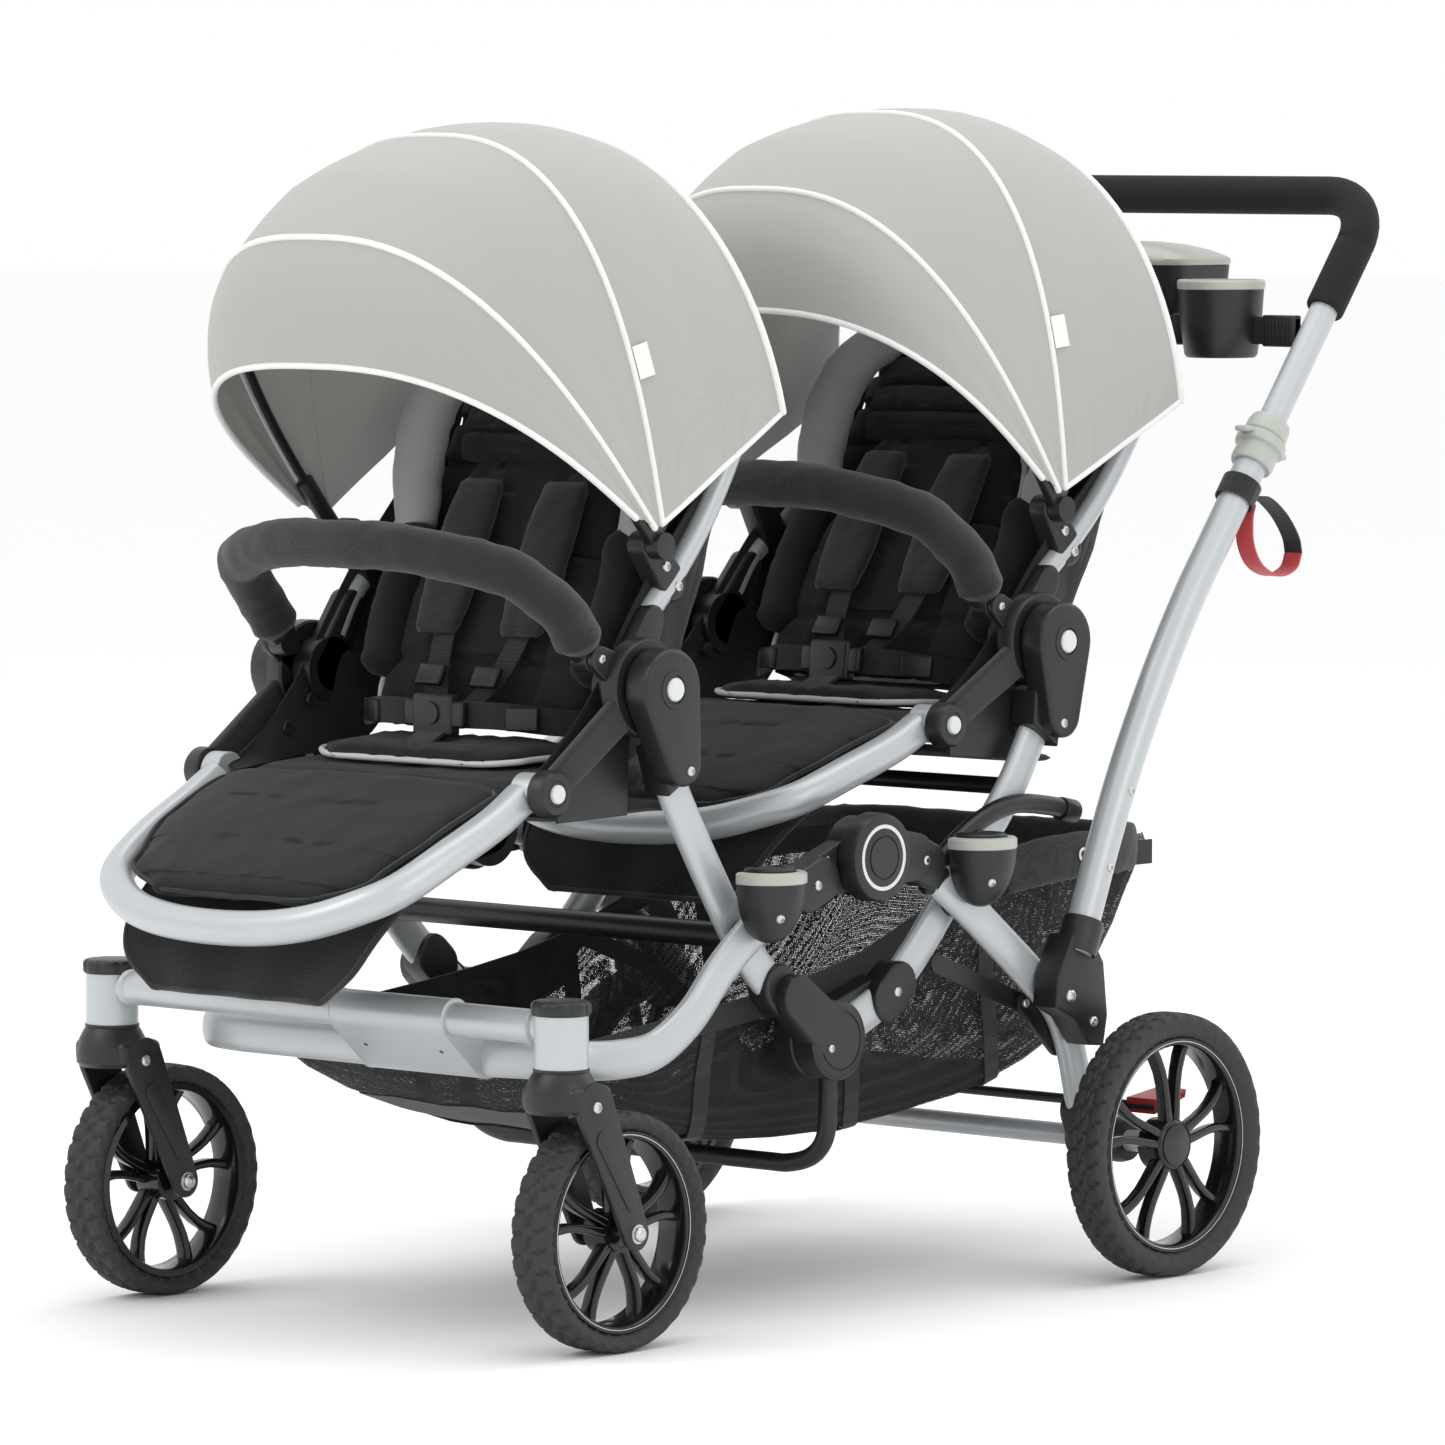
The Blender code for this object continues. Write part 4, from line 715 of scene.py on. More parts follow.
def build_wheel(end, side_name, side):
    radius, width, depth, hub_radius, blocks = WHEELS[end]
    place = pivot(f"{end}_wheel_spin_{side_name}")
    body = f"{end}_wheel_{side_name}"
    seat, half = radius - depth, width * 0.4
    inner = seat - RIM_WALL
    out = (side, 0, 0)
    tyre = tyre_mesh(place, radius, width, depth, blocks)
    piece(f"{end}_tyre_{side_name}_look", tyre, TYRE, body, f"{end}_tyre_{side_name}", slot="tyre",
          smooth=28)
    rim = [(inner + 0.001, -half), (seat - 0.001, -half), (seat, -half + 0.001),
           (seat, half - 0.001)]
    rim += [(seat - 0.0015, half + 0.0006), (seat - 0.003, half), (seat - 0.0035, half - 0.0012)]
    rim += [(inner + 0.0015, half - 0.0012), (inner, half - 0.003), (inner - 0.0006, 0.0),
            (inner, -half + 0.002)]
    parts = [lathe(rim, place, out, 72, closed=True)]
    for pair in range(5):
        for lean in (-1, 1):
            angle = 2 * math.pi * pair / 5 + math.pi / 2
            parts.append(spoke_mesh(place, angle, lean, side, hub_radius, inner, half))
    r = hub_radius
    face = half * 0.9
    hub = [(0.0, -face), (r * 0.8, -face), (r, -face + 0.002), (r, face - 0.004),
           (r * 0.94, face - 0.001)]
    if end == "rear":
        hub += [(r * 0.86, face), (r * 0.84, face - 0.0008), (r * 0.80, face - 0.0008),
                (r * 0.78, face + 0.0004)]
        hub += [(r * 0.4, face + 0.0016), (0.0, face + 0.002)]
    else:
        hub += [(r * 0.7, face), (r * 0.66, face - 0.0015), (0.0, face - 0.0015)]
    parts.append(lathe(hub, place, out, 40))
    rim_body = joined(parts)
    piece(f"{end}_rim_{side_name}_look", rim_body, GLOSS, body, f"{end}_rim_{side_name}",
          slot="rim_plastic")
    bead = lathe([(seat - 0.0045, half - 0.0008), (seat - 0.0038, half - 0.0008),
                  (seat - 0.0038, half - 0.0002),
                  (seat - 0.0045, half - 0.0002)], place, out, 72, closed=True)
    piece(f"{end}_bead_{side_name}", bead, NICKEL, body)


def build_fork(side_name):
    """Crown, two legs and the nuts of the wheel's pin."""
    top = pivot(f"caster_swivel_{side_name}")
    axle = pivot(f"front_wheel_spin_{side_name}")
    x, y, z = top
    low = 0.214
    crown = [(0.0, low - 0.001), (0.029, low - 0.001), (0.0325, low + 0.003), (0.0325, low + 0.012)]
    crown += [(0.030, z - 0.012), (0.0265, z - 0.005), (0.024, z - 0.0012), (0.0, z - 0.0012)]
    parts = [lathe(crown, Vector((x, y, 0)), Z_AXIS, 36)]
    parts.append(box((x - 0.033, y - 0.018, low), (x + 0.033, y + 0.032, z - 0.013), 0.007, 4))
    shoulder = (y + 0.010, low + 0.004)
    outline = strap_outline(shoulder, 0.022, (axle.y, axle.z), 0.015, 16)
    inset = strap_outline((shoulder[0] + 0.008, shoulder[1] - 0.028), 0.009,
                          (axle.y - 0.008, axle.z + 0.026), 0.006)
    for way in (-1, 1):
        parts.append(plate(outline, span(0.0268, 0.0332, way) if way > 0 else (-0.0332, -0.0268),
                           0.0018, 0.0))
        parts[-1].transform(Matrix.Translation((x, 0, 0)))
        raised = plate(inset, span(0.0330, 0.0345, way), 0.0006, 0.0)
        raised.transform(Matrix.Translation((x, 0, 0)))
        parts.append(raised)
    body = f"caster_{side_name}"
    piece(f"fork_{side_name}", joined(parts), PLASTIC, body, f"caster_fork_{side_name}",
          slot="black_plastic")
    bolts = []
    for way in (-1, 1):
        out = Vector((way, 0, 0))
        nut = [(0.0062, 0.0), (0.0066, 0.001), (0.0066, 0.0038), (0.0052, 0.0055), (0.003, 0.0062),
               (0.0, 0.0064)]
        bolts.append(lathe([(0.0085, -0.001), (0.0085, 0.0009), (0.0062, 0.0012), *nut[1:]],
                           axle + out * 0.0333, out, 24))
        bolts.append(screw_head(Vector((x, shoulder[0] - 0.001,
                                        shoulder[1] + 0.001)) + out * 0.0335, out, 0.0052))
    bolts.append(lathe([(0.0, -0.032), (0.004, -0.032), (0.004, 0.032), (0.0, 0.032)], axle,
                       X_AXIS, 16))
    piece(f"fork_bolts_{side_name}", joined(bolts), NICKEL, body)


def scalloped_cap(place):
    """A black screw cap with finger grips round its edge."""
    section = []
    for i in range(96):
        a = 2 * math.pi * i / 96
        r = 0.0262 - 0.0016 * max(0.0, math.cos(9 * a)) ** 3
        section.append((r * math.cos(a), r * math.sin(a)))
    heights = (-0.001, 0.0006, 0.0075, 0.0098, 0.0108)
    shares = (0.97, 1.0, 1.0, 0.95, 0.86)
    path = [place + Z_AXIS * h for h in heights]
    return sweep(path, section, (1, 0, 0), lambda t: shares[round(t * 4)])


def build_crossbar():
    y, z = AXLE_Y - 0.061, 0.285
    reach = 0.277
    paint = [lathe([(0.0, -reach), (0.015, -reach), (0.015, reach), (0.0, reach)],
                   Vector((0, y, z)), X_AXIS, 32)]
    caps = []
    for _, side in SIDES:
        place = Vector((side * reach, y, 0))
        tube_profile = [(0.0, 0.250), (0.0225, 0.250), (0.0237, 0.2512), (0.0237, 0.2990),
                        (0.0, 0.2990)]
        paint.append(lathe(tube_profile, place, Z_AXIS, 40))
        weld = [(0.015, 0.0), (0.0178, 0.0015), (0.0165, 0.0045), (0.015, 0.006)]
        paint.append(lathe(weld, Vector((side * (reach - 0.0235), y, z)), (-side, 0, 0), 32))
        caps.append(scalloped_cap(place + Z_AXIS * 0.2992))
        for height in (0.2985, 0.2503):
            collar = [(0.0225, -0.0012), (0.0246, -0.0012), (0.0246, 0.0012), (0.0225, 0.0012)]
            caps.append(lathe(collar, place + Z_AXIS * height, Z_AXIS, 40, closed=True))
    loop = (-0.021, 0.249)
    outline = strap_outline((-0.061, 0.285), 0.0178, loop, 0.0192, 18)
    sleeve = plate(outline, (0.012, 0.152), 0.0012)
    paint.append(sleeve)
    piece("crossbar", joined(paint), PAINT, "front_legs", "caster_crossbar", slot="frame_paint")
    piece("crossbar_caps", joined(caps), PLASTIC, "front_legs", slot="black_plastic")
    seams = [plate(strap_outline((-0.061, 0.285), 0.0183, loop, 0.0197, 18), (x, x + 0.0016),
                   0.0002)
             for x in (0.0126, 0.1496)]
    piece("sleeve_edges", joined(seams), PAINT, "front_legs", slot="frame_paint")
    normal = Vector((0, -0.67, -0.74))
    slots = [lathe([(0.0, 0.0), (0.0022, 0.0), (0.0022, 0.0006), (0.0, 0.0006)],
                   at(x, -0.054, 0.2545), normal, 12)
             for x in (0.036, 0.128)]
    piece("sleeve_rivets", joined(slots), PLASTIC, "front_legs")


# ---------------------------------------------------------------- legs, hubs and supports

OVAL = ring(0.009, 0.0175, 26, 0.9)
FRONT_LEG = [(0.332, 0.394), (0.290, 0.376), (0.235, 0.349), (0.190, 0.316), (0.150, 0.277)]
FRONT_LEG += [(0.105, 0.2515), (0.060, 0.2465)]
REAR_LEG = [(0.420, 0.405), (0.457, 0.393), (0.500, 0.366), (0.550, 0.329), (0.614, 0.280)]
REAR_LEG += [(0.652, 0.247), (0.672, 0.208), (0.684, 0.165), (0.696, 0.128)]
FRONT_SUPPORT = [(0.146, 0.482), (0.170, 0.441), (0.200, 0.393), (0.232, 0.345), (0.262, 0.310)]
FRONT_SUPPORT += [(0.292, 0.283), (0.315, 0.2645)]
REAR_SUPPORT = [(0.642, 0.498), (0.612, 0.452), (0.572, 0.407), (0.520, 0.353), (0.475, 0.306)]
REAR_SUPPORT += [(0.430, 0.270), (0.384, 0.249)]


def cheek(a, b, x, half=0.0128, radius=0.0208):
    return lambda side: plate(strap_outline(a, radius, b, radius), span(x - half, x + half, side),
                              0.0035)


def screws_at(places, x, radius=0.0048):
    """A screw on the outer face at each place, on both sides."""
    heads = []
    for _, side in SIDES:
        heads += [screw_head(at(side * x, y, z), (side, 0, 0), radius) for y, z in places]
    return joined(heads)


def build_front_legs():
    half = [at(LEG_X, y, z) for y, z in FRONT_LEG]
    half += [at(0.226, 0.018, 0.2475), at(0.196, -0.010, 0.2490), at(0.160, -0.0195, 0.2490)]
    half += [at(0.120, -0.021, 0.249), at(0.0, -0.021, 0.249)]
    path = curve_through(half + [Vector((-p.x, p.y, p.z)) for p in reversed(half[:-1])], 7)
    middle = len(path) // 2
    left = sweep(path[:middle + 1], OVAL)
    legs = joined([left, mirrored_in_x(left)])
    piece("front_legs_tube", legs, PAINT, "front_legs", "front_leg_frame", slot="frame_paint")
    knuckle = (LEG_X - 0.014, LEG_X + 0.0055)
    parts = []
    for _, side in SIDES:
        parts.append(rounded_disc(0.036, 0.0195, 0.002, at(side * knuckle[0], *TOP_HUB),
                                  (side, 0, 0)))
        outline = strap_outline(TOP_HUB, 0.026, (0.318, 0.388), 0.0205)
        parts.append(plate(outline, span(*knuckle, side), 0.002))
        parts.append(cheek((0.315, 0.387), (0.296, 0.379), LEG_X)(side))
    piece("front_leg_brackets", joined(parts), PLASTIC, "front_legs", slot="black_plastic")
    piece("front_leg_screws", screws_at([(0.304, 0.383)], LEG_X + 0.0130), NICKEL, "front_legs")


def build_rear_legs():
    tubes = both_sides(lambda side: sweep(curve_through(in_world(side * LEG_X, REAR_LEG), 7), OVAL))
    axle = lathe([(0.0, -0.319), (0.010, -0.319), (0.010, 0.319), (0.0, 0.319)], at(0, *REAR_AXLE),
                 X_AXIS, 28)
    piece("rear_legs_tube", joined([tubes, axle]), PAINT, "rear_legs", "rear_leg_frame",
          slot="frame_paint")
    parts, rings, black = [], [], []
    for _, side in SIDES:
        out = (side, 0, 0)
        base = LEG_X + 0.0059
        hub = [(0.0, 0.0), (0.0385, 0.0), (0.040, 0.0015), (0.040, 0.0165), (0.0385, 0.0200),
               (0.036, 0.0212)]
        hub += [(0.0302, 0.0212), (0.0300, 0.0196), (0.0262, 0.0196), (0.0260, 0.0206),
                (0.020, 0.0214)]
        hub += [(0.0196, 0.0204), (0.0188, 0.0204), (0.0184, 0.0216), (0.0, 0.0220)]
        parts.append(lathe(hub, at(side * base, *TOP_HUB), out, 56))
        parts.append(plate(strap_outline(TOP_HUB, 0.030, (0.440, 0.400), 0.0215),
                           span(base, LEG_X + 0.0145, side), 0.002))
        parts.append(cheek((0.446, 0.398), (0.462, 0.391), LEG_X, 0.0126, 0.0205)(side))
        white = [(0.0262, 0.0194), (0.0300, 0.0194), (0.0298, 0.0210), (0.0264, 0.0210)]
        rings.append(lathe(white, at(side * base, *TOP_HUB), out, 56, closed=True))
        foot = [(0.0, -0.016), (0.020, -0.016), (0.021, -0.014), (0.021, 0.038), (0.019, 0.045),
                (0.0, 0.045)]
        parts.append(lathe(foot, at(side * LEG_X, *REAR_AXLE), out, 32))
        parts.append(cheek((0.690, 0.148), (0.699, 0.128), LEG_X, 0.0125, 0.0200)(side))
        rod = side_view("brake_pedal")
        parts.append(plate(strap_outline(REAR_AXLE, 0.014, rod, 0.011),
                           span(LEG_X - 0.014, LEG_X - 0.006, side), 0.0008))
        bend = [(0.470, 0.370), (0.488, 0.390), (0.512, 0.409), (0.550, 0.428), (0.592, 0.438),
                (0.640, 0.434), (0.674, 0.427)]
        black.append(tube(in_world(side * (LEG_X - 0.0017), bend), 0.0090, 7, 20, ends="round"))
        lever = strap_outline((0.613, 0.253), 0.009, (0.662, 0.212), 0.012)
        black.append(plate(lever, span(LEG_X - 0.0105, LEG_X - 0.005, side), 0.0006))
        for y, z in ((0.480, 0.378), (0.668, 0.428)):
            sleeve = [(0.0, -0.010), (0.0108, -0.010), (0.0112, -0.008), (0.0112, 0.008),
                      (0.0108, 0.010), (0.0, 0.010)]
            black.append(lathe(sleeve, at(side * (LEG_X - 0.0017), y, z),
                               (0, 1, 0.55 if y < 0.5 else -0.2), 24))
    piece("rear_leg_brackets", joined(parts), PLASTIC, "rear_legs", slot="black_plastic")
    piece("hub_rings", joined(rings), WHITE, "rear_legs", slot="grey_plastic")
    piece("braces", joined(black), BLACK_PAINT, "rear_legs", slot="black_paint")
    screws = [screws_at([(0.452, 0.396)], LEG_X + 0.0128),
              screws_at([(0.613, 0.253)], LEG_X - 0.004, 0.0042)]
    piece("rear_leg_screws", joined(screws), NICKEL, "rear_legs")


def build_supports():
    for end, places, crossing in (("front", FRONT_SUPPORT, FRONT_CROSSING),
                                  ("rear", REAR_SUPPORT, REAR_CROSSING)):
        body = f"{end}_support"
        tubes = both_sides(lambda side: sweep(curve_through(in_world(side * SUPPORT_X, places), 7),
                                              OVAL))
        piece(f"{end}_support_tubes", tubes, PAINT, body, f"{end}_support_frame",
              slot="frame_paint")
        parts, dark = [], []
        near_hub, up_tube = places[-2], places[-3]
        reach = (near_hub[0] + (up_tube[0] - near_hub[0]) * 0.35,
                 near_hub[1] + (up_tube[1] - near_hub[1]) * 0.35)
        hub_span = (SUPPORT_X + 0.0004, SUPPORT_X + 0.026) if end == "front" else (SUPPORT_X - 0.024, SUPPORT_X - 0.0004)
        for _, side in SIDES:
            out = (side, 0, 0)
            thick = hub_span[1] - hub_span[0]
            face = [(0.0, 0.0), (0.0345, 0.0), (0.036, 0.0015), (0.036, thick - 0.003),
                    (0.0335, thick - 0.0006)]
            face += [(0.027, thick), (0.0265, thick - 0.001), (0.0255, thick - 0.001),
                     (0.025, thick), (0.0, thick + 0.0008)]
            parts.append(lathe(face, at(side * hub_span[0], *LOWER_HUB), out, 48))
            parts.append(plate(strap_outline(LOWER_HUB, 0.024, near_hub, 0.0205),
                               span(*hub_span, side), 0.0025))
            parts.append(cheek(near_hub, reach, SUPPORT_X)(side))
            washer = at(side * (SUPPORT_X + 0.006), *crossing)
            parts.append(rounded_disc(0.015, 0.0066, 0.001, washer, out))
        piece(f"{end}_lower_hub", joined(parts), PLASTIC, body, slot="black_plastic")
        cross, radius = (crossing, 0.0115) if end == "front" else (places[1], 0.008)
        rod = [(0.0, -SUPPORT_X), (radius, -SUPPORT_X), (radius, SUPPORT_X), (0.0, SUPPORT_X)]
        dark.append(lathe(rod, at(0, *cross), X_AXIS, 24))
        if end == "front":
            x, (y, z) = SUPPORT_X + 0.010, LOWER_HUB
            half = [at(x, y, z - 0.028), at(x, y, z - 0.060), at(x - 0.003, y, z - 0.088),
                    at(x - 0.018, y, z - 0.106)]
            half += [at(x - 0.045, y, z - 0.1145), at(x - 0.080, y, z - 0.1155),
                     at(0.0, y, z - 0.1155)]
            path = mirrored_path([tuple(p) for p in half])
            dark.append(tube(path, 0.0085, 7, 20, up=(0, 1, 0)))
        piece(f"{end}_cross_tube", joined(dark), BLACK_PAINT, body, slot="black_paint")
        screws = [screws_at([((near_hub[0] + reach[0]) / 2, (near_hub[1] + reach[1]) / 2)],
                            SUPPORT_X + 0.0130)]
        if end == "front":
            screws.append(screws_at([(LOWER_HUB[0] - 0.014, LOWER_HUB[1] - 0.006)],
                                    SUPPORT_X + 0.0266, 0.0040))
        piece(f"{end}_support_screws", joined(screws), NICKEL, body)


def build_covers():
    for end, crossing, body in (("front", FRONT_CROSSING, "front_legs"),
                                ("rear", REAR_CROSSING, "rear_legs")):
        x, face = LEG_X + 0.021, LEG_X + 0.0093
        top = crossing[1] + 0.050
        for side_name, side in SIDES:
            place = at(side * x, crossing[0], top)
            inward = ((side * face, 0, 0), (side, 0, 0))
            bowl = [(0.033 * math.cos(a), -0.054 * math.sin(a)) for a in [math.pi / 2 * i / 14 for i in range(15)]]
            bowl = [(max(r, 0.0), h) for r, h in bowl[::-1]] + [(0.0, 0.0)]
            bowl[0] = (0.0, bowl[0][1])
            body_mesh = bisected(lathe(bowl, place, Z_AXIS, 44), *inward)
            lid = [(0.0, -0.0008), (0.0325, -0.0008), (0.0337, 0.0006), (0.0337, 0.0085),
                   (0.0320, 0.0100)]
            lid += [(0.0262, 0.0104), (0.0250, 0.0084), (0.0, 0.0084)]
            rim = bisected(lathe(lid, place, Z_AXIS, 44), *inward)
            knob = [(0.0, 0.008), (0.0238, 0.008), (0.0240, 0.0118), (0.0225, 0.0136),
                    (0.0160, 0.0142)]
            knob += [(0.0150, 0.0130), (0.0, 0.0134)]
            knob_mesh = bisected(lathe(knob, place, Z_AXIS, 36), *inward)
            cad = f"{end}_crossing_cover_{side_name}"
            piece(f"{end}_bowl_{side_name}", joined([body_mesh, knob_mesh]), PLASTIC, body, cad,
                  slot="black_plastic")
            piece(f"{end}_bowl_rim_{side_name}", rim, GREY, body, slot="grey_plastic")
            out = Vector((side * 0.80, -0.25, -0.40)).normalized()
            head = screw_head(place + Vector((side * 0.0235, -0.012, -0.030)), out, 0.0044)
            piece(f"{end}_bowl_screw_{side_name}", head, NICKEL, body)


def build_links():
    ends = ((0.497, 0.297), (0.613, 0.253))
    inner, outer = SUPPORT_X + 0.0093, LEG_X - 0.0108
    for side_name, side in SIDES:
        link = plate(strap_outline(ends[0], 0.009, ends[1], 0.009), span(inner, outer, side),
                     0.0003)
        piece(f"fold_link_{side_name}_look", link, BLACK_PAINT, "fold_links",
              f"fold_link_{side_name}", slot="black_paint")


def build_mounts():
    hubs = {end: side_view(f"{end}_recline") for end in ENDS}
    for end, places in (("front", FRONT_SUPPORT), ("rear", REAR_SUPPORT)):
        hub, foot = Vector(hubs[end]), Vector(places[0])
        unit = (foot - hub).normalized()
        along = (Vector(places[1]) - foot).normalized()
        low = foot - along * 0.0003
        shoulder = hub + unit * 0.048
        side_way, low_way = Vector((-unit.y, unit.x)) * 0.0205, Vector((-along.y, along.x)) * 0.0205
        corners = [shoulder + side_way, low + low_way, low - low_way, shoulder - side_way]
        for side_name, side in SIDES:
            out = (side, 0, 0)
            housing = plate(strap_outline(hub, 0.036, foot - along * 0.0225, 0.021, 18),
                            span(SUPPORT_X + 0.0035, SUPPORT_X + 0.0320, side), 0.005)
            socket = plate([tuple(c) for c in corners],
                           span(SUPPORT_X - 0.0125, SUPPORT_X + 0.018, side), 0.003)
            lip = [(0.0120, 0.0), (0.0175, 0.0), (0.0168, 0.0016), (0.0128, 0.0016)]
            ring_mesh = lathe(lip, at(side * (SUPPORT_X + 0.0316), *hub), out, 40, closed=True)
            cad = f"{end}_seat_mount_{side_name}"
            body = f"{end}_support"
            parts = joined([housing, socket, ring_mesh])
            piece(f"{end}_mount_{side_name}", parts, PLASTIC, body, cad, slot="black_plastic")
            spot = foot - along * 0.014
            head = screw_head(at(side * (SUPPORT_X + 0.0318), spot.x, spot.y), out, 0.0046)
            piece(f"{end}_mount_screw_{side_name}", head, NICKEL, body)
            button = [(0.0, 0.0), (0.0100, 0.0), (0.0104, 0.0008), (0.0104, 0.0058),
                      (0.0092, 0.0072), (0.0, 0.0080)]
            cad = f"{end}_seat_button_{side_name}"
            data = lathe(button, at(side * (SUPPORT_X + 0.0278), *hub), out, 32)
            piece(f"{cad}_look", data, WHITE, cad, cad, slot="grey_plastic")


# ---------------------------------------------------------------- push tubes, handle and tray

SLOPE = Vector((0.0, math.cos(math.radians(52.5)), math.sin(math.radians(52.5))))
COLLAR = (0.915, 0.765)
PUSH_LOW = [(0.640, 0.300), (0.656, 0.338), (0.682, 0.401), (0.716, 0.474), (0.762, 0.556)]
REACH, BEND = 0.285, 0.058


def up_slope(x, distance):
    return at(x, *COLLAR) + SLOPE * distance


def build_push_tubes():
    inner = LEG_X + 0.0098
    outline = [(0.628, 0.318), (0.655, 0.316), (0.672, 0.290), (0.678, 0.240), (0.672, 0.212),
               (0.652, 0.214)]
    outline += [(0.630, 0.240), (0.604, 0.252), (0.606, 0.280)]
    for side_name, side in SIDES:
        x = side * PUSH_X
        path = in_world(x, PUSH_LOW) + [up_slope(x, d) for d in (-0.180, -0.120, -0.060, 0.0)]
        body, cad = "push_tubes", f"push_tube_{side_name}"
        piece(f"push_tube_{side_name}_look", tube(path, 0.0155, 7, 28), PAINT, body, cad,
              slot="frame_paint")
        bracket = [plate(outline, span(inner, PUSH_X + 0.0095, side), 0.004)]
        cuff = [(0.0, -0.004), (0.0185, -0.004), (0.0192, 0.0), (0.0192, 0.024), (0.0178, 0.028),
                (0.0, 0.028)]
        bracket.append(lathe(cuff, at(x, 0.643, 0.304), (0, 0.38, 0.92), 32))
        piece(f"push_bracket_{side_name}", joined(bracket), PLASTIC, body, slot="black_plastic")
        heads = [screw_head(at(side * (PUSH_X + 0.0096), *p), (side, 0, 0), r)
                 for p, r in (((0.622, 0.262), 0.0062), ((0.655, 0.236), 0.0050))]
        heads += [screw_head(at(side * (PUSH_X + 0.0150), *p), (side, 0, 0),
                             0.0040) for p in ((0.703, 0.446), (0.672, 0.377))]
        piece(f"push_screws_{side_name}", joined(heads), NICKEL, body)
        collar = [(0.0157, -0.032), (0.0195, -0.032), (0.0208, -0.029), (0.0205, -0.014),
                  (0.0240, -0.012)]
        collar += [(0.0247, -0.008), (0.0240, -0.003), (0.0205, -0.0005), (0.0200, 0.0),
                   (0.0212, 0.0015)]
        collar += [(0.0205, 0.013), (0.0190, 0.018), (0.0140, 0.0185), (0.0140, 0.0)]
        lever_out = Vector((0, -SLOPE.z, SLOPE.y))
        parts = [lathe(collar, up_slope(x, 0.0), SLOPE, 40, closed=True)]
        lever = [up_slope(x, -0.006) + lever_out * a + SLOPE * b for a,
                 b in ((0.018, 0.0), (0.026, -0.001), (0.033, -0.006))]
        parts.append(sweep(curve_through(lever, 5), ring(0.0075, 0.0030, 16, 0.6), SLOPE,
                           ends="round", dome=0.003))
        lever = [up_slope(x, -0.006) - lever_out * a + SLOPE * b for a,
                 b in ((0.018, 0.0), (0.024, 0.002), (0.030, 0.006))]
        parts.append(sweep(curve_through(lever, 5), ring(0.0085, 0.0035, 16, 0.6), SLOPE,
                           ends="round", dome=0.003))
        piece(f"collar_{side_name}", joined(parts), GREY, body, slot="grey_plastic")


def handle_line():
    half = [up_slope(PUSH_X, -0.110), up_slope(PUSH_X, 0.02), up_slope(PUSH_X, 0.15),
            up_slope(PUSH_X, REACH - BEND)]
    for i in range(1, 12):
        a = math.pi / 2 * i / 12
        half.append(up_slope(PUSH_X - BEND * (1 - math.cos(a)), REACH - BEND * (1 - math.sin(a))))
    half += [up_slope(PUSH_X - BEND, REACH), up_slope(0.10, REACH), up_slope(0.0, REACH)]
    return half + [Vector((-p.x, p.y, p.z)) for p in reversed(half[:-1])]


def build_handle():
    line = handle_line()
    upper = sweep(line, ring(0.0134, 0.0134, 28), (1, 0, 0))
    piece("push_handle_look", upper, PAINT, "handle", "push_handle", slot="frame_paint")
    inside = [p for p in line[3:-3]]
    first = up_slope(PUSH_X, 0.150)
    start = [first + (inside[0] - first) * t for t in (0.0, 0.02, 0.05, 0.5, 0.96, 0.99)]
    path = start + inside + [Vector((-p.x, p.y, p.z)) for p in reversed(start)]
    count = len(path) - 1

    def swell(t):
        i = round(t * count)
        i = min(i, count - i)
        return (0.955, 0.99, 1.0, 1.0, 1.0, 0.965)[i] if i < 6 else 1.0

    grip = sweep(path, ring(0.0185, 0.0185, 30), (1, 0, 0), swell)
    piece("grip", grip, FOAM, "handle", "handle_grip", slot="grip_foam", smooth=60)


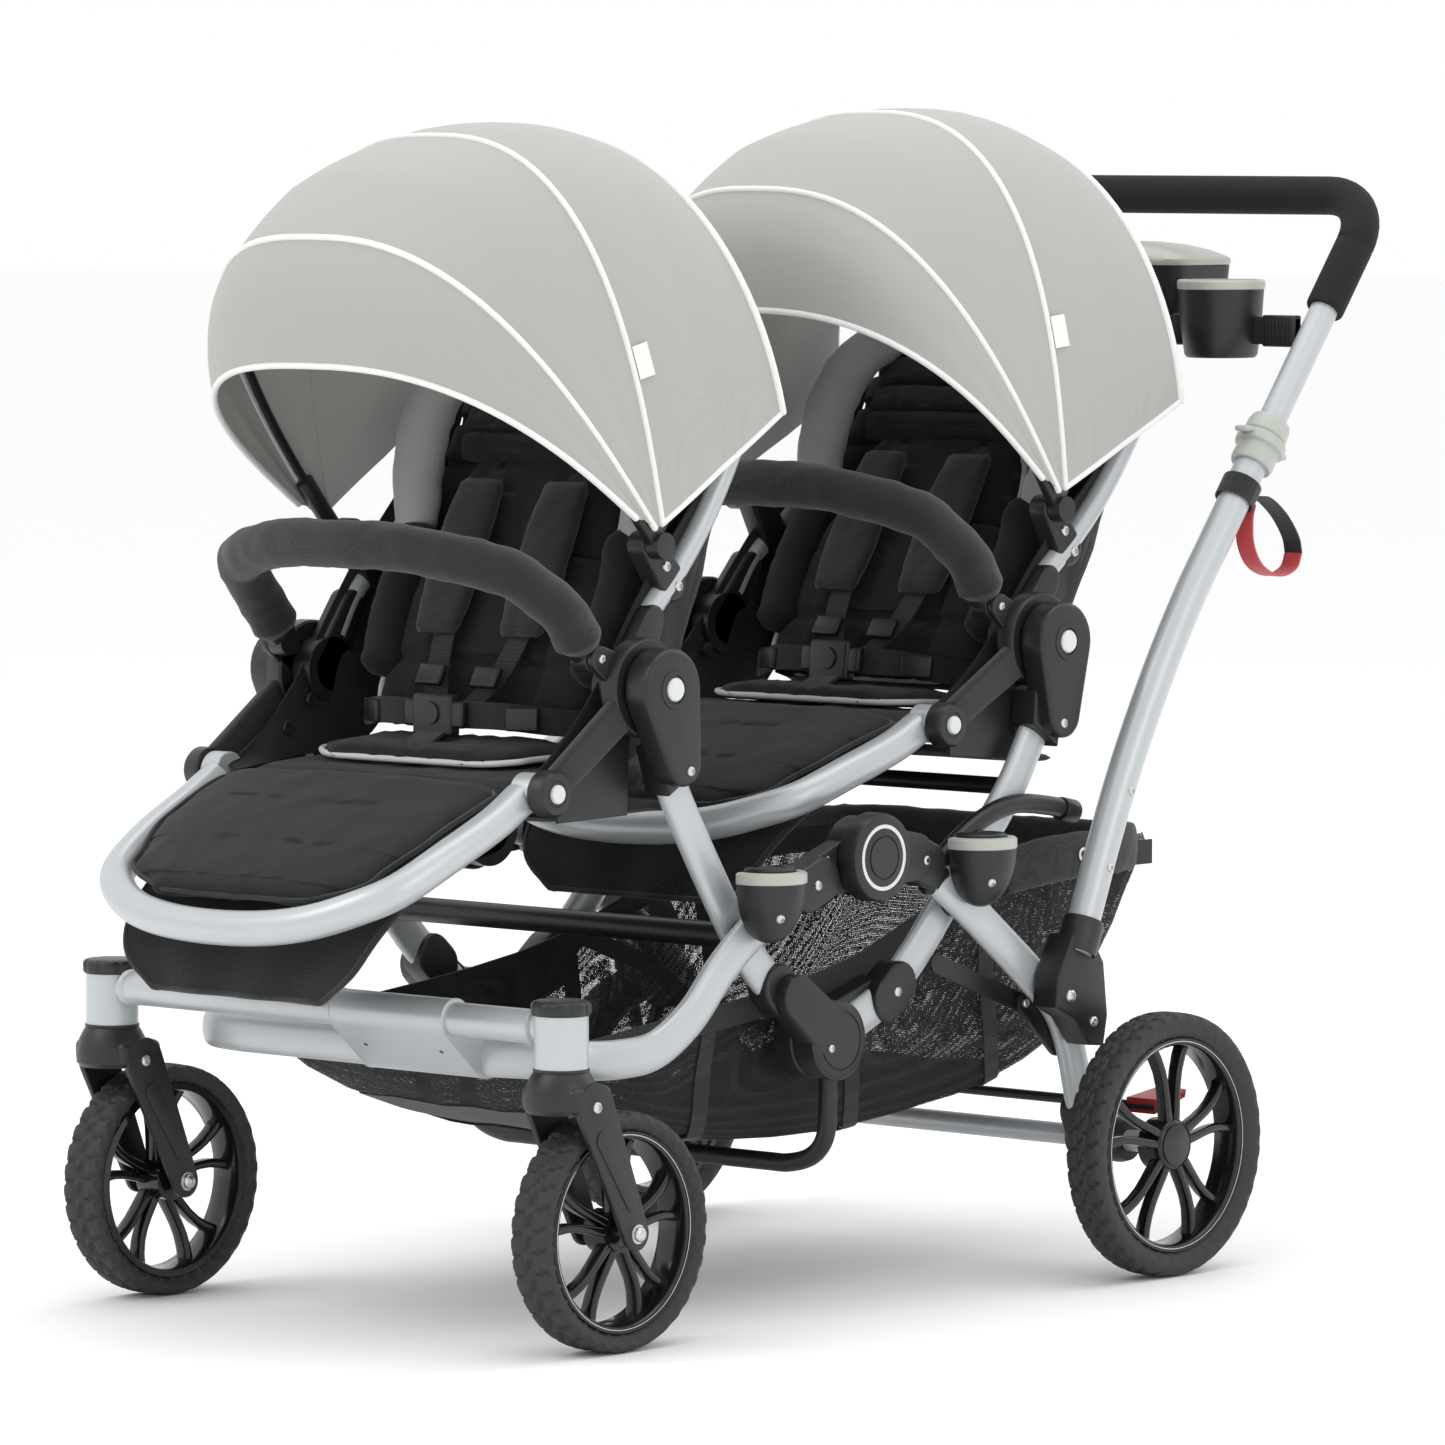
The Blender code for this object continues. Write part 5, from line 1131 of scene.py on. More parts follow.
def build_tray():
    y, z = 0.984, 0.864
    reach = PUSH_X - 0.0140
    parts = [box((-reach, AXLE_Y + y - 0.0045, z - 0.013), (reach, AXLE_Y + y + 0.0045, z + 0.013),
                 0.0015)]
    for x_low, x_high in ((-reach, -0.215), (0.215, reach), (0.106, 0.122), (-0.122, -0.106)):
        parts.append(box((x_low, AXLE_Y + y - 0.006, z - 0.015),
                         (x_high, AXLE_Y + y + 0.006, z + 0.015), 0.002))
    for i in range(9):
        for side in (-1, 1):
            x = side * (0.216 + 0.0042 * i)
            parts.append(box((x - 0.0011, AXLE_Y + y - 0.0066, z - 0.012),
                             (x + 0.0011, AXLE_Y + y + 0.0066, z + 0.012), 0.0005, 2))
    low, high = Vector((-0.100, AXLE_Y + 0.988, 0.872)), Vector((0.100, AXLE_Y + 1.088, 0.924))
    rows = []
    for share, inset in ((0.0, 0.012), (0.08, 0.005), (0.3, 0.003), (1.0, 0.0)):
        height = low.z + (high.z - low.z) * share
        rows.append([Vector(((0.100 - inset) * math.copysign(abs(math.cos(a)) ** 0.3, math.cos(a)),
                             (low.y + high.y) / 2 + (0.050 - inset) * math.copysign(abs(math.sin(a)) ** 0.3, math.sin(a)),
                             height)) for a in [2 * math.pi * i / 64 for i in range(65)]])
    inner = [[Vector((p.x * 0.97, (low.y + high.y) / 2 + (p.y - (low.y + high.y) / 2) * 0.94,
                      p.z)) for p in row]
             for row in rows[:0:-1]]
    floor_row = [Vector((p.x * 0.94, (low.y + high.y) / 2 + (p.y - (low.y + high.y) / 2) * 0.9,
                         low.z + 0.003)) for p in rows[0]]
    centre = Vector((0, (low.y + high.y) / 2, low.z))
    bottom = [centre.copy() for _ in rows[0]]
    top = [centre + Z_AXIS * 0.003 for _ in rows[0]]
    grid = [bottom] + rows + inner + [floor_row, top]
    verts = [p for row in grid for p in row]
    wide = len(rows[0])
    faces = []
    for i in range(len(grid) - 1):
        for j in range(wide - 1):
            a, b = i * wide + j, (i + 1) * wide + j
            faces.append((a, a + 1, b + 1, b))
    parts.append(mesh_from(verts, faces))
    rims = []
    for _, side in SIDES:
        place = at(side * 0.166, 0.978, 0.0)
        low_z, high_z, r = 0.838, 0.912, 0.0415
        cup = [(0.0, low_z), (r * 0.78, low_z), (r * 0.84, low_z + 0.003),
               (r * 0.93, low_z + 0.030), (r * 0.985, high_z - 0.009)]
        cup += [(r * 0.91, high_z - 0.009), (r * 0.86, low_z + 0.028), (r * 0.77, low_z + 0.004),
                (0.0, low_z + 0.003)]
        parts.append(lathe(cup, place, Z_AXIS, 48))
        rim = [(r * 0.985, high_z - 0.0092), (r + 0.0004, high_z - 0.0085),
               (r + 0.0006, high_z - 0.002), (r - 0.001, high_z)]
        rim += [(r * 0.93, high_z), (r * 0.905, high_z - 0.002), (r * 0.905, high_z - 0.0092)]
        rims.append(lathe(rim, place, Z_AXIS, 48, closed=True))
    piece("tray", joined(parts), PLASTIC, "handle", "parent_tray", slot="black_plastic")
    piece("cup_rims", joined(rims), GREY, "handle", slot="grey_plastic")
    build_lid(low, high)


def build_lid(low, high):
    middle = (low.y + high.y) / 2 - 0.002
    rows = []
    profile = ((1.0, 0.0004), (1.012, 0.002), (1.008, 0.0065), (0.95, 0.0095), (0.82, 0.0145),
               (0.62, 0.0192), (0.35, 0.0222), (0.0, 0.0232))
    for share, rise in profile:
        power = 0.34 + 0.3 * (1 - share)
        rows.append([Vector((0.1025 * share * math.copysign(abs(math.cos(a)) ** power, math.cos(a)),
                             middle + 0.051 * share * math.copysign(abs(math.sin(a)) ** power, math.sin(a)),
                             high.z + rise)) for a in [2 * math.pi * i / 64 for i in range(65)]])
    rows.insert(0, [Vector((0, middle, high.z + 0.0004)) for _ in range(65)])
    verts = [p for row in rows for p in row]
    faces = []
    for i in range(len(rows) - 1):
        for j in range(64):
            a, b = i * 65 + j, (i + 1) * 65 + j
            faces.append((a, a + 1, b + 1, b))
    tab = box((-0.014, middle - 0.0580, high.z + 0.0015), (0.014, middle - 0.046, high.z + 0.0055),
              0.0018)
    piece("lid", joined([mesh_from(verts, faces), tab]), GREY, "tray_lid", "tray_lid",
          slot="grey_plastic", smooth=50)


def build_wrist_strap():
    x = PUSH_X
    start = up_slope(x, -0.062)
    loop = [(0.0185 * math.cos(a), 0.0185 * math.sin(a)) for a in [2 * math.pi * i / 24 for i in range(25)]]
    wrap = [start + X_AXIS * a + Vector((0, -SLOPE.z, SLOPE.y)) * b for a, b in loop]
    band = [[p - SLOPE * 0.011 for p in wrap], [p + SLOPE * 0.011 for p in wrap]]
    strap = cloth("wrist_strap_band", band, WEBBING, "push_tubes", flat=(0.022, 0.116),
                  held="laid", rests_on=["push_tube_left_look"])
    hang = [(0.014, -0.008), (0.034, -0.006), (0.060, -0.022), (0.079, -0.044), (0.084, -0.060)]
    red = [(0.084, -0.060), (0.076, -0.074), (0.052, -0.080), (0.026, -0.070), (0.012, -0.050),
           (0.010, -0.026), (0.014, -0.012)]
    for name, places, material in (("wrist_strap", hang, WEBBING), ("wrist_loop", red, RED)):
        path = curve_through([start + Vector((0, a, b)) for a, b in places], 8)
        rows = [[p - X_AXIS * 0.010, p + X_AXIS * 0.010] for p in path]
        length = sum((b - a).length for a, b in zip(path, path[1:]))
        cloth(name, rows, material, "push_tubes", flat=(0.020, round(length, 3)), held="hung",
              rests_on=[strap.name], wall=0.0018)


def build_brake():
    reach = 0.323 - 0.020 - 0.016
    rod = side_view("brake_pedal")
    bar = lathe([(0.0, -reach), (0.0048, -reach), (0.0048, reach), (0.0, reach)], at(0, *rod),
                X_AXIS, 20)
    pedals = []
    y, z = rod
    outline = [(y - 0.004, z - 0.006), (y + 0.040, z + 0.006), (y + 0.042, z + 0.014),
               (y - 0.004, z + 0.008)]
    for _, side in SIDES:
        pedals.append(plate(outline, span(reach - 0.034, reach + 0.003, side), 0.0025))
    piece("brake_rod", bar, PLASTIC, "brake", "brake_bar", slot="black_plastic")
    piece("brake_pedals", joined(pedals), RED_PLASTIC, "brake", slot="pedal_plastic")


# ---------------------------------------------------------------- basket

BASKET_ROWS = (
    # bottom (y, z), top (y, z)
    ((0.034, 0.230), (0.040, 0.252)),
    ((0.075, 0.203), (0.085, 0.256)),
    ((0.120, 0.182), (0.135, 0.262)),
    ((0.175, 0.163), (0.190, 0.268)),
    ((0.230, 0.150), (0.240, 0.273)),
    ((0.300, 0.144), (0.305, 0.281)),
    ((0.360, 0.142), (0.365, 0.290)),
    ((0.440, 0.143), (0.435, 0.305)),
    ((0.520, 0.148), (0.505, 0.331)),
    ((0.590, 0.157), (0.570, 0.354)),
    ((0.640, 0.169), (0.615, 0.364)),
    ((0.690, 0.184), (0.655, 0.374)),
    ((0.732, 0.201), (0.700, 0.382)),
    ((0.776, 0.248), (0.752, 0.384)),
    ((0.818, 0.300), (0.800, 0.384)),
    ((0.844, 0.344), (0.836, 0.385)),
    ((0.862, 0.382), (0.8615, 0.385)),
)


def basket_row(bottom, top, half=0.1765):
    """Across from the left top edge, down, along the sagging floor and up again."""
    left = []
    for k in range(9):
        t = k / 8
        y = top[0] + (bottom[0] - top[0]) * t
        z = top[1] + (bottom[1] - top[1]) * t
        wave = 0.0022 * math.sin(34 * y + 5 * t) * math.sin(math.pi * min(1.0, t * 1.4))
        left.append((half - 0.010 * t ** 3 + wave - 0.003 * math.sin(math.pi * t), y,
                     z + (0.010 * t ** 6)))
    for k in range(1, 9):
        t = k / 8
        x = (half - 0.010) * math.cos(math.pi / 2 * t ** 1.1)
        z = bottom[1] + 0.010 * (1 - t) ** 2 + 0.0012 * math.sin(60 * x + 20 * bottom[0])
        left.append((x, bottom[0], z))
    left[-1] = (0.0, left[-1][1], left[-1][2])
    return [at(*p) for p in mirrored_path(left)]


def build_basket():
    rows = []
    pairs = list(zip(BASKET_ROWS, BASKET_ROWS[1:]))
    for (b0, t0), (b1, t1) in pairs:
        for k in range(3):
            f = k / 3
            mix = lambda p, q: (p[0] + (q[0] - p[0]) * f, p[1] + (q[1] - p[1]) * f)
            rows.append(basket_row(mix(b0, b1), mix(t0, t1)))
    rows.append(basket_row(*BASKET_ROWS[-1]))
    net = cloth("basket_net", rows, MESH, "rear_legs", "basket", flat=(0.62, 0.96), held="hung",
                rests_on=["rear_legs_tube", "front_cross_tube"], wall=0.0008, slot="basket_mesh")
    for side_index, name in ((0, "left"), (-1, "right")):
        line = [row[side_index] for row in rows]
        band = [[p + Vector((0, 0, 0.001)) for p in line],
                [p - Vector((0, 0, 0.022)) for p in line]]
        out = 1 if side_index == 0 else -1
        band = [[p + X_AXIS * out * 0.0014 for p in row] for row in band]
        cloth(f"basket_binding_{name}", band, WEBBING, "rear_legs", flat=(0.023, 0.82),
              held="stretched",
                           rests_on=[net.name], wall=0.0016, slot="basket_mesh")
    floor_rows = [[p - Vector((0, 0, 0.0012)) for p in row[11:-11]] for row in rows[6:34]]
    cloth("basket_floor", floor_rows, SLEEVE_CLOTH, "rear_legs", flat=(0.34, 0.62),
          held="stretched",
                          rests_on=[net.name], slot="basket_mesh")
    for index, y in ((12, "front"), (21, "middle"), (30, "rear")):
        line = [p + Vector((0, 0, -0.0022)) for p in rows[index]]
        ahead = [p + Vector((0, 0, -0.0022)) for p in rows[index + 1]]
        strap = [[p + (q - p).normalized() * 0.010 for p, q in zip(line, ahead)],
                 [p - (q - p).normalized() * 0.010 for p, q in zip(line, ahead)]]
        out = [[p + X_AXIS * 0.0012 * (1 if p.x > 0.15 else -1 if p.x < -0.15 else 0) for p in row] for row in strap]
        cloth(f"basket_strap_{y}", out, WEBBING, "rear_legs", flat=(0.020, 0.66), held="stretched",
                              rests_on=[net.name], wall=0.0014, slot="basket_mesh")
    collar_line = [at(0.184, 0.640, 0.370), at(0.186, 0.720, 0.378), at(0.184, 0.800, 0.380),
                   at(0.164, 0.846, 0.380), at(0.10, 0.866, 0.378), at(0.0, 0.869, 0.377)]
    whole = mirrored_path([tuple(p) for p in collar_line])
    collar = sweep(curve_through(whole, 8), ring(0.0062, 0.022, 20, 0.7), (0, 0, 1), ends="round",
                   dome=0.008)
    crumpled(collar, 0.0014, 0.030)
    collar_piece = piece("basket_collar", collar, SLEEVE_CLOTH, "rear_legs", slot="basket_mesh",
                         smooth=80)
    grommet = lathe([(0.0035, -0.001), (0.0065, -0.001), (0.0065, 0.001), (0.0035, 0.001)],
                    at(0.1925, 0.742, 0.380), X_AXIS, 24, closed=True)
    piece("basket_grommet", grommet, NICKEL, "rear_legs")

# ---------------------------------------------------------------- seats

SEAT_X = 0.165
RAIL_X = 0.190
BASE = (0.197, 0.2166)
FOOT = (-0.124, -0.086)
BUMPER = (-0.049, 0.027)
CANOPY_AT = (0.030, 0.123)
FOOT_DISC = (0.203, 0.222)


def local_plate(outline, x_range, edge):
    return plate(outline, x_range, edge, 0.0)


def local_screws(places, x, radius=0.0042):
    heads = []
    for _, side in SIDES:
        heads += [screw_head(Vector((side * x, y, z)), (side, 0, 0), radius) for y, z in places]
    return joined(heads)


def build_seat_frame(end):
    to_world, body, cad = SEAT[end], f"{end}_support", f"{end}_seat_frame"
    parts, rails = [], []
    for _, side in SIDES:
        out = (side, 0, 0)
        thick = BASE[1] - BASE[0]
        hub = [(0.0, 0.0), (0.0420, 0.0), (0.0440, 0.002), (0.0440, thick - 0.003),
               (0.0420, thick - 0.0006), (0.0, thick)]
        parts.append(lathe(hub, Vector((side * BASE[0], 0, 0)), out, 56))
        skirt = [(-0.103, -0.100), (-0.101, -0.114), (-0.012, -0.112), (-0.008, -0.030),
                 (-0.035, -0.025)]
        parts.append(local_plate(skirt, span(BASE[0], BASE[0] + 0.0038, side), 0.001))
        ear = strap_outline(BUMPER, 0.012, (0, 0), 0.020, 14)
        parts.append(local_plate(ear, span(BASE[0], BASE[0] + 0.008, side), 0.002))
        rail = strap_outline(FOOT, 0.014, (-0.012, -0.008), 0.017, 14)
        rails.append(local_plate(rail, span(FOOT_DISC[0], FOOT_DISC[0] + 0.012, side), 0.004))
        disc = [(0.0, 0.0), (0.0190, 0.0), (0.0205, 0.0015), (0.0205, 0.0150), (0.0180, 0.0185),
                (0.0120, 0.0190)]
        disc += [(0.0108, 0.0178), (0.0, 0.0178)]
        parts.append(lathe(disc, Vector((side * FOOT_DISC[0], *FOOT)), out, 44))
    hard = moved(joined(parts), to_world)
    piece(f"{end}_seat_hubs", hard, PLASTIC, body, cad, slot="black_plastic")
    piece(f"{end}_seat_rails", moved(joined(rails), to_world), SLEEVE_CLOTH, body,
          slot="seat_fabric", smooth=60)
    base = pillow([(-0.101, -0.110), (-0.060, -0.109), (0.0, -0.108), (0.058, -0.107)], 0.198,
                  0.0055, 1.0, steps=(36, 20), power=14)
    base = piece(f"{end}_seat_base", moved(base, to_world), SEAT_CLOTH, body, slot="seat_fabric",
                 smooth=80)
    for side_name, side in SIDES:
        cad = f"{end}_footrest_button_{side_name}"
        button = [(0.0, 0.0), (0.0080, 0.0), (0.0084, 0.0008), (0.0084, 0.0052), (0.0074, 0.0064),
                  (0.0, 0.0070)]
        data = moved(lathe(button, Vector((side * 0.2178, *FOOT)), (side, 0, 0), 28), to_world)
        piece(f"{cad}_look", data, WHITE, cad, cad, slot="grey_plastic")
    screws = local_screws([(-0.049, 0.027)], 0.2048)
    piece(f"{end}_seat_screws", moved(screws, to_world), NICKEL, body)


def build_back_frame(end):
    to_world, body = SEAT[end], f"{end}_back"
    x = RAIL_X - 0.006
    side_path = [(0.014, 0.030), (0.034, 0.064), (0.066, 0.096), (0.104, 0.142), (0.140, 0.200),
                 (0.170, 0.262)]
    half = [(x, *p) for p in side_path]
    half += [(x - 0.010, 0.184, 0.288), (x - 0.034, 0.192, 0.302), (x - 0.070, 0.195, 0.306),
             (0.0, 0.196, 0.306)]
    frame_tube = tube(mirrored_path(half), 0.0105, 6, 22)
    piece(f"{end}_back_tube", moved(frame_tube, to_world), PAINT, body, f"{end}_back_frame",
          slot="frame_paint")
    parts = []
    for _, side in SIDES:
        inner = (RAIL_X - 0.016, BASE[0] - 0.0006)
        parts.append(rounded_disc(0.030, inner[1] - inner[0], 0.002,
                                  Vector((side * inner[0], 0, 0)), (side, 0, 0)))
        parts.append(local_plate(strap_outline((0, 0), 0.022, (0.030, 0.058), 0.013, 14),
                                 span(*inner, side), 0.003))
        clip = span(x - 0.013, x + 0.0095, side)
        parts.append(local_plate(strap_outline((0.058, 0.089), 0.017, CANOPY_AT, 0.013, 14), clip,
                                 0.004))
    piece(f"{end}_back_clips", moved(joined(parts), to_world), PLASTIC, body, slot="black_plastic")
    screws = local_screws([(0.062, 0.086), (0.046, 0.104)], x + 0.0097, 0.0050)
    piece(f"{end}_clip_screws", moved(screws, to_world), NICKEL, body)


def soft(name, data, material, body, *nodes, fill=0.6, matrix=None, smooth=80):
    if matrix is not None:
        moved(data, matrix)
    obj = piece(name, data, material, body, *nodes, slot="seat_fabric", smooth=smooth)
    return obj


def edge_piping(path, half_width, ends=(0.02, 0.98), corner=0.10, steps=40):
    """A closed line round a pillow's edge, rounded at its corners."""
    line = curve_through([(0.0, *p) for p in path], 12)
    points = []
    count = len(line) - 1
    for i in range(steps + 1):
        v = ends[0] + (ends[1] - ends[0]) * i / steps
        near_end = min((v - ends[0]), (ends[1] - v)) / corner
        squeeze = 1.0 if near_end >= 1 else math.sqrt(max(0.0,
                                                          1 - (1 - near_end) ** 2)) * 0.35 + 0.65
        where = v * count
        k = min(int(where), count - 1)
        place = line[k] + (line[k + 1] - line[k]) * (where - k)
        points.append((read_along(half_width, v) * squeeze, place.y, place.z))
    left = [Vector(p) for p in points]
    right = [Vector((-p.x, p.y, p.z)) for p in left]
    return left + right[::-1]


def piping_loop(points, radius=0.0030):
    """A round cord sewn along a closed line of points."""
    smooth_line = curve_through(points + points[:1], 3)[:-1]
    return sweep(smooth_line, ring(radius, radius, 10), (0.2, 0.1, 1), closed=True)


def build_cushions(end):
    to_world, seat_body, back_body = SEAT[end], f"{end}_support", f"{end}_back"
    pad = pillow([(-0.131, -0.0945), (-0.095, -0.0895), (-0.060, -0.0870), (0.020, -0.0835),
                  (0.068, -0.0845)],
                 SEAT_X, 0.0135, 0.85, steps=(40, 44), power=16)
    soft(f"{end}_seat_cushion", crumpled(pad, 0.0016, 0.055, 1.0), SEAT_CLOTH, seat_body,
         f"{end}_seat_pad", fill=0.5, matrix=to_world)
    back = pillow([(0.058, -0.050), (0.084, 0.020), (0.112, 0.090), (0.142, 0.170), (0.168, 0.230),
                   (0.190, 0.276)],
                  [0.160, 0.163, 0.164, 0.163, 0.160, 0.150], 0.030, 1.0, ribs=(0.62, 0.74, 0.86),
                  steps=(40, 60), power=12)
    soft(f"{end}_back_cushion", crumpled(back, 0.0018, 0.060, 2.0), SEAT_CLOTH, back_body,
         f"{end}_back_pad", fill=0.6, matrix=to_world)
    # the insert: its seat part and its back part, each edged with piping
    seat_path = [(-0.088, -0.0690), (-0.060, -0.0655), (-0.020, -0.0635), (0.010, -0.0625)]
    seat_width = [0.098, 0.120, 0.128, 0.124]
    insert = pillow(seat_path, seat_width, 0.012, 0.5, seams=(0.10,), steps=(36, 26), power=5)
    soft(f"{end}_insert_seat", crumpled(insert, 0.0022, 0.045, 3.0), SEAT_CLOTH, seat_body,
         fill=0.6, matrix=to_world)
    line = edge_piping(seat_path, [0.100, 0.124, 0.131, 0.127])
    soft(f"{end}_insert_seat_piping", piping_loop(line), REFLECTIVE, seat_body, fill=1.0,
         matrix=to_world)
    back_path = [(0.008, -0.046), (0.022, -0.010), (0.050, 0.060), (0.080, 0.130), (0.108, 0.190)]
    back_width = [0.118, 0.128, 0.122, 0.104, 0.090]
    insert = pillow(back_path, back_width, 0.015, 0.6, seams=(0.55,), ribs=(0.32, 0.66),
                    steps=(40, 50), power=5)
    soft(f"{end}_insert_back", crumpled(insert, 0.0026, 0.045, 4.0), SEAT_CLOTH, back_body,
         fill=0.7, matrix=to_world)
    line = edge_piping(back_path, [0.121, 0.131, 0.125, 0.107, 0.093])
    soft(f"{end}_insert_back_piping", piping_loop(line), REFLECTIVE, back_body, fill=1.0,
         matrix=to_world)
    head = pillow([(0.106, 0.186), (0.122, 0.222), (0.146, 0.268), (0.168, 0.300)],
                  [0.112, 0.118, 0.112, 0.092], 0.020, 0.7,
                  ribs=(0.22, 0.42, 0.62, 0.82), steps=(36, 40), power=5)
    soft(f"{end}_headrest", crumpled(head, 0.0018, 0.040, 5.0), SEAT_CLOTH, back_body, fill=0.8,
         matrix=to_world)
    bolsters = []
    for _, side in SIDES:
        path = [(0.138, 0.074, 0.132), (0.146, 0.084, 0.176), (0.146, 0.094, 0.222),
                (0.134, 0.112, 0.262), (0.104, 0.136, 0.292)]
        points = [(side * x, y, z) for x, y, z in path]
        bolsters.append(tube(points, 0.0235, 9, 20, ends="round",
                             scale=lambda t: 0.72 + 0.28 * math.sin(math.pi * min(1.0, max(0.0, 0.12 + t * 0.8)))))
    soft(f"{end}_head_bolsters", crumpled(joined(bolsters), 0.0024, 0.030, 6.0), BOLSTER,
         back_body, fill=0.8, matrix=to_world)
    chest = []
    for _, side in SIDES:
        path = [(0.128, 0.020, 0.010), (0.134, 0.042, 0.060), (0.128, 0.066, 0.118)]
        chest.append(tube([(side * x, y, z) for x, y, z in path], 0.020, 9, 18, ends="round"))
    soft(f"{end}_side_rolls", crumpled(joined(chest), 0.0024, 0.030, 7.0), SEAT_CLOTH, back_body,
         fill=0.7, matrix=to_world)


def build_harness(end):
    to_world, seat_body, back_body = SEAT[end], f"{end}_support", f"{end}_back"
    for side_name, side in SIDES:
        path = [(side * 0.050, 0.092, 0.182), (side * 0.052, 0.060, 0.140),
                (side * 0.050, 0.030, 0.070), (side * 0.040, 0.000, 0.010),
                (side * 0.020, -0.022, -0.024)]
        line = curve_through(path, 8)
        rows = [[p - X_AXIS * 0.0125, p + X_AXIS * 0.0125] for p in line]
        length = sum((b - a).length for a, b in zip(line, line[1:]))
        strap = cloth(f"{end}_shoulder_strap_{side_name}", rows, WEBBING, None,
                      flat=(0.025, round(length, 3)), held="laid",
                      rests_on=[f"{end}_insert_back"], wall=0.0016, slot="seat_fabric",
                      matrix=to_world)
        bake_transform(strap)
        pad = pillow([(0.080, 0.170), (0.058, 0.128), (0.036, 0.078), (0.016, 0.034)],
                     [0.026, 0.030, 0.030, 0.025], 0.0085, 0.8,
                     steps=(14, 24), power=4)
        pad.transform(Matrix.Translation((side * 0.052, -0.008, 0.004)))
        soft(f"{end}_shoulder_pad_{side_name}", crumpled(pad, 0.0012, 0.03, 8.0), SLEEVE_CLOTH,
             back_body, fill=0.6, matrix=to_world)
        path = [(side * 0.136, 0.004, -0.036), (side * 0.110, -0.016, -0.034),
                (side * 0.075, -0.036, -0.030), (side * 0.030, -0.040, -0.030)]
        line = curve_through(path, 8)
        rows = [[p - Z_AXIS * 0.0120, p + Z_AXIS * 0.0120] for p in line]
        length = sum((b - a).length for a, b in zip(line, line[1:]))
        cloth(f"{end}_waist_strap_{side_name}", rows, WEBBING, seat_body,
              flat=(0.024, round(length, 3)), held="laid",
              rests_on=[f"{end}_insert_seat"], wall=0.0016, slot="seat_fabric", matrix=to_world)
        parts = [box((-0.0150, -0.0035, -0.0105), (0.0150, 0.0035, 0.0105), 0.002)]
        slide = joined(parts)
        slide.transform(Matrix.Translation((side * 0.092, -0.0305,
                                            -0.032)) @ Matrix.Rotation(side * 0.45, 4, "Z"))
        piece(f"{end}_waist_slide_{side_name}", moved(slide, to_world), PLASTIC, seat_body,
              slot="black_plastic")
        slide = box((-0.0150, -0.0035, -0.0100), (0.0150, 0.0035, 0.0100), 0.002)
        slide.transform(Matrix.Translation((side * 0.034, -0.016,
                                            0.002)) @ Matrix.Rotation(-0.5, 4, "X"))
        piece(f"{end}_shoulder_slide_{side_name}", moved(slide, to_world), PLASTIC, seat_body,
              slot="black_plastic")
    parts = [box((-0.024, -0.052, -0.050), (0.024, -0.038, -0.012), 0.004, 4)]
    parts.append(box((-0.036, -0.050, -0.042), (-0.020, -0.040, -0.018), 0.003))
    parts.append(box((0.020, -0.050, -0.042), (0.036, -0.040, -0.018), 0.003))
    parts.append(lathe([(0.0, 0.0), (0.0105, 0.0), (0.0100, 0.0022), (0.0, 0.0030)],
                       Vector((0, -0.052, -0.029)), (0, -1, 0), 28))
    piece(f"{end}_buckle", moved(joined(parts), to_world), PLASTIC, seat_body, slot="black_plastic")
    crotch = [(0.0, -0.046, -0.044), (0.0, -0.062, -0.052), (0.0, -0.072, -0.0585)]
    line = curve_through(crotch, 6)
    rows = [[p - X_AXIS * 0.016, p + X_AXIS * 0.016] for p in line]
    length = sum((b - a).length for a, b in zip(line, line[1:]))
    cloth(f"{end}_crotch_strap", rows, WEBBING, seat_body, flat=(0.032, round(length, 3)),
          held="laid",
          rests_on=[f"{end}_insert_seat"], wall=0.003, slot="seat_fabric", matrix=to_world)


def build_side_wings(end):
    """Cloth from the seat's edge up to the back tube, with two snaps."""
    to_world = SEAT[end]
    low = [(-0.128, -0.084), (-0.096, -0.080), (-0.055, -0.076), (-0.010, -0.072), (0.030, -0.066),
           (0.060, -0.040),
           (0.086, 0.020), (0.112, 0.090), (0.142, 0.170), (0.172, 0.250)]
    high = [(-0.1265, -0.080), (-0.094, -0.060), (-0.058, -0.028), (-0.026, 0.010), (0.006, 0.056),
            (0.036, 0.096),
            (0.064, 0.126), (0.100, 0.166), (0.134, 0.214), (0.160, 0.262)]
    for side_name, side in SIDES:
        lower = curve_through([(side * 0.166, *p) for p in low], 5)
        upper = curve_through([(side * 0.1815, *p) for p in high], 5)
        rows = []
        for k in range(9):
            t = k / 8
            row = []
            for i, (a, b) in enumerate(zip(lower, upper)):
                p = a * (1 - t) + b * t
                belly = math.sin(math.pi * t) * (0.0035 * math.sin(i * 0.55) + 0.002)
                row.append(p + X_AXIS * side * belly)
            rows.append(row)
        wing = cloth(f"{end}_wing_{side_name}", rows, SEAT_CLOTH, None, flat=(0.16, 0.52),
                     held="stretched",
                     rests_on=[f"{end}_back_tube"], wall=0.0016, slot="seat_fabric",
                     matrix=to_world)
        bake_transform(wing)
        snaps = []
        for y, z in ((-0.060, -0.050), (-0.030, -0.026)):
            snap = [(0.0, 0.0), (0.0062, 0.0), (0.0066, 0.001), (0.0058, 0.0022), (0.004, 0.0018),
                    (0.0, 0.0014)]
            snaps.append(lathe(snap, Vector((side * 0.171, y, z)), (-side, 0, 0), 24))
        piece(f"{end}_snaps_{side_name}", moved(joined(snaps), to_world), PLASTIC,
              f"{end}_support", slot="black_plastic")


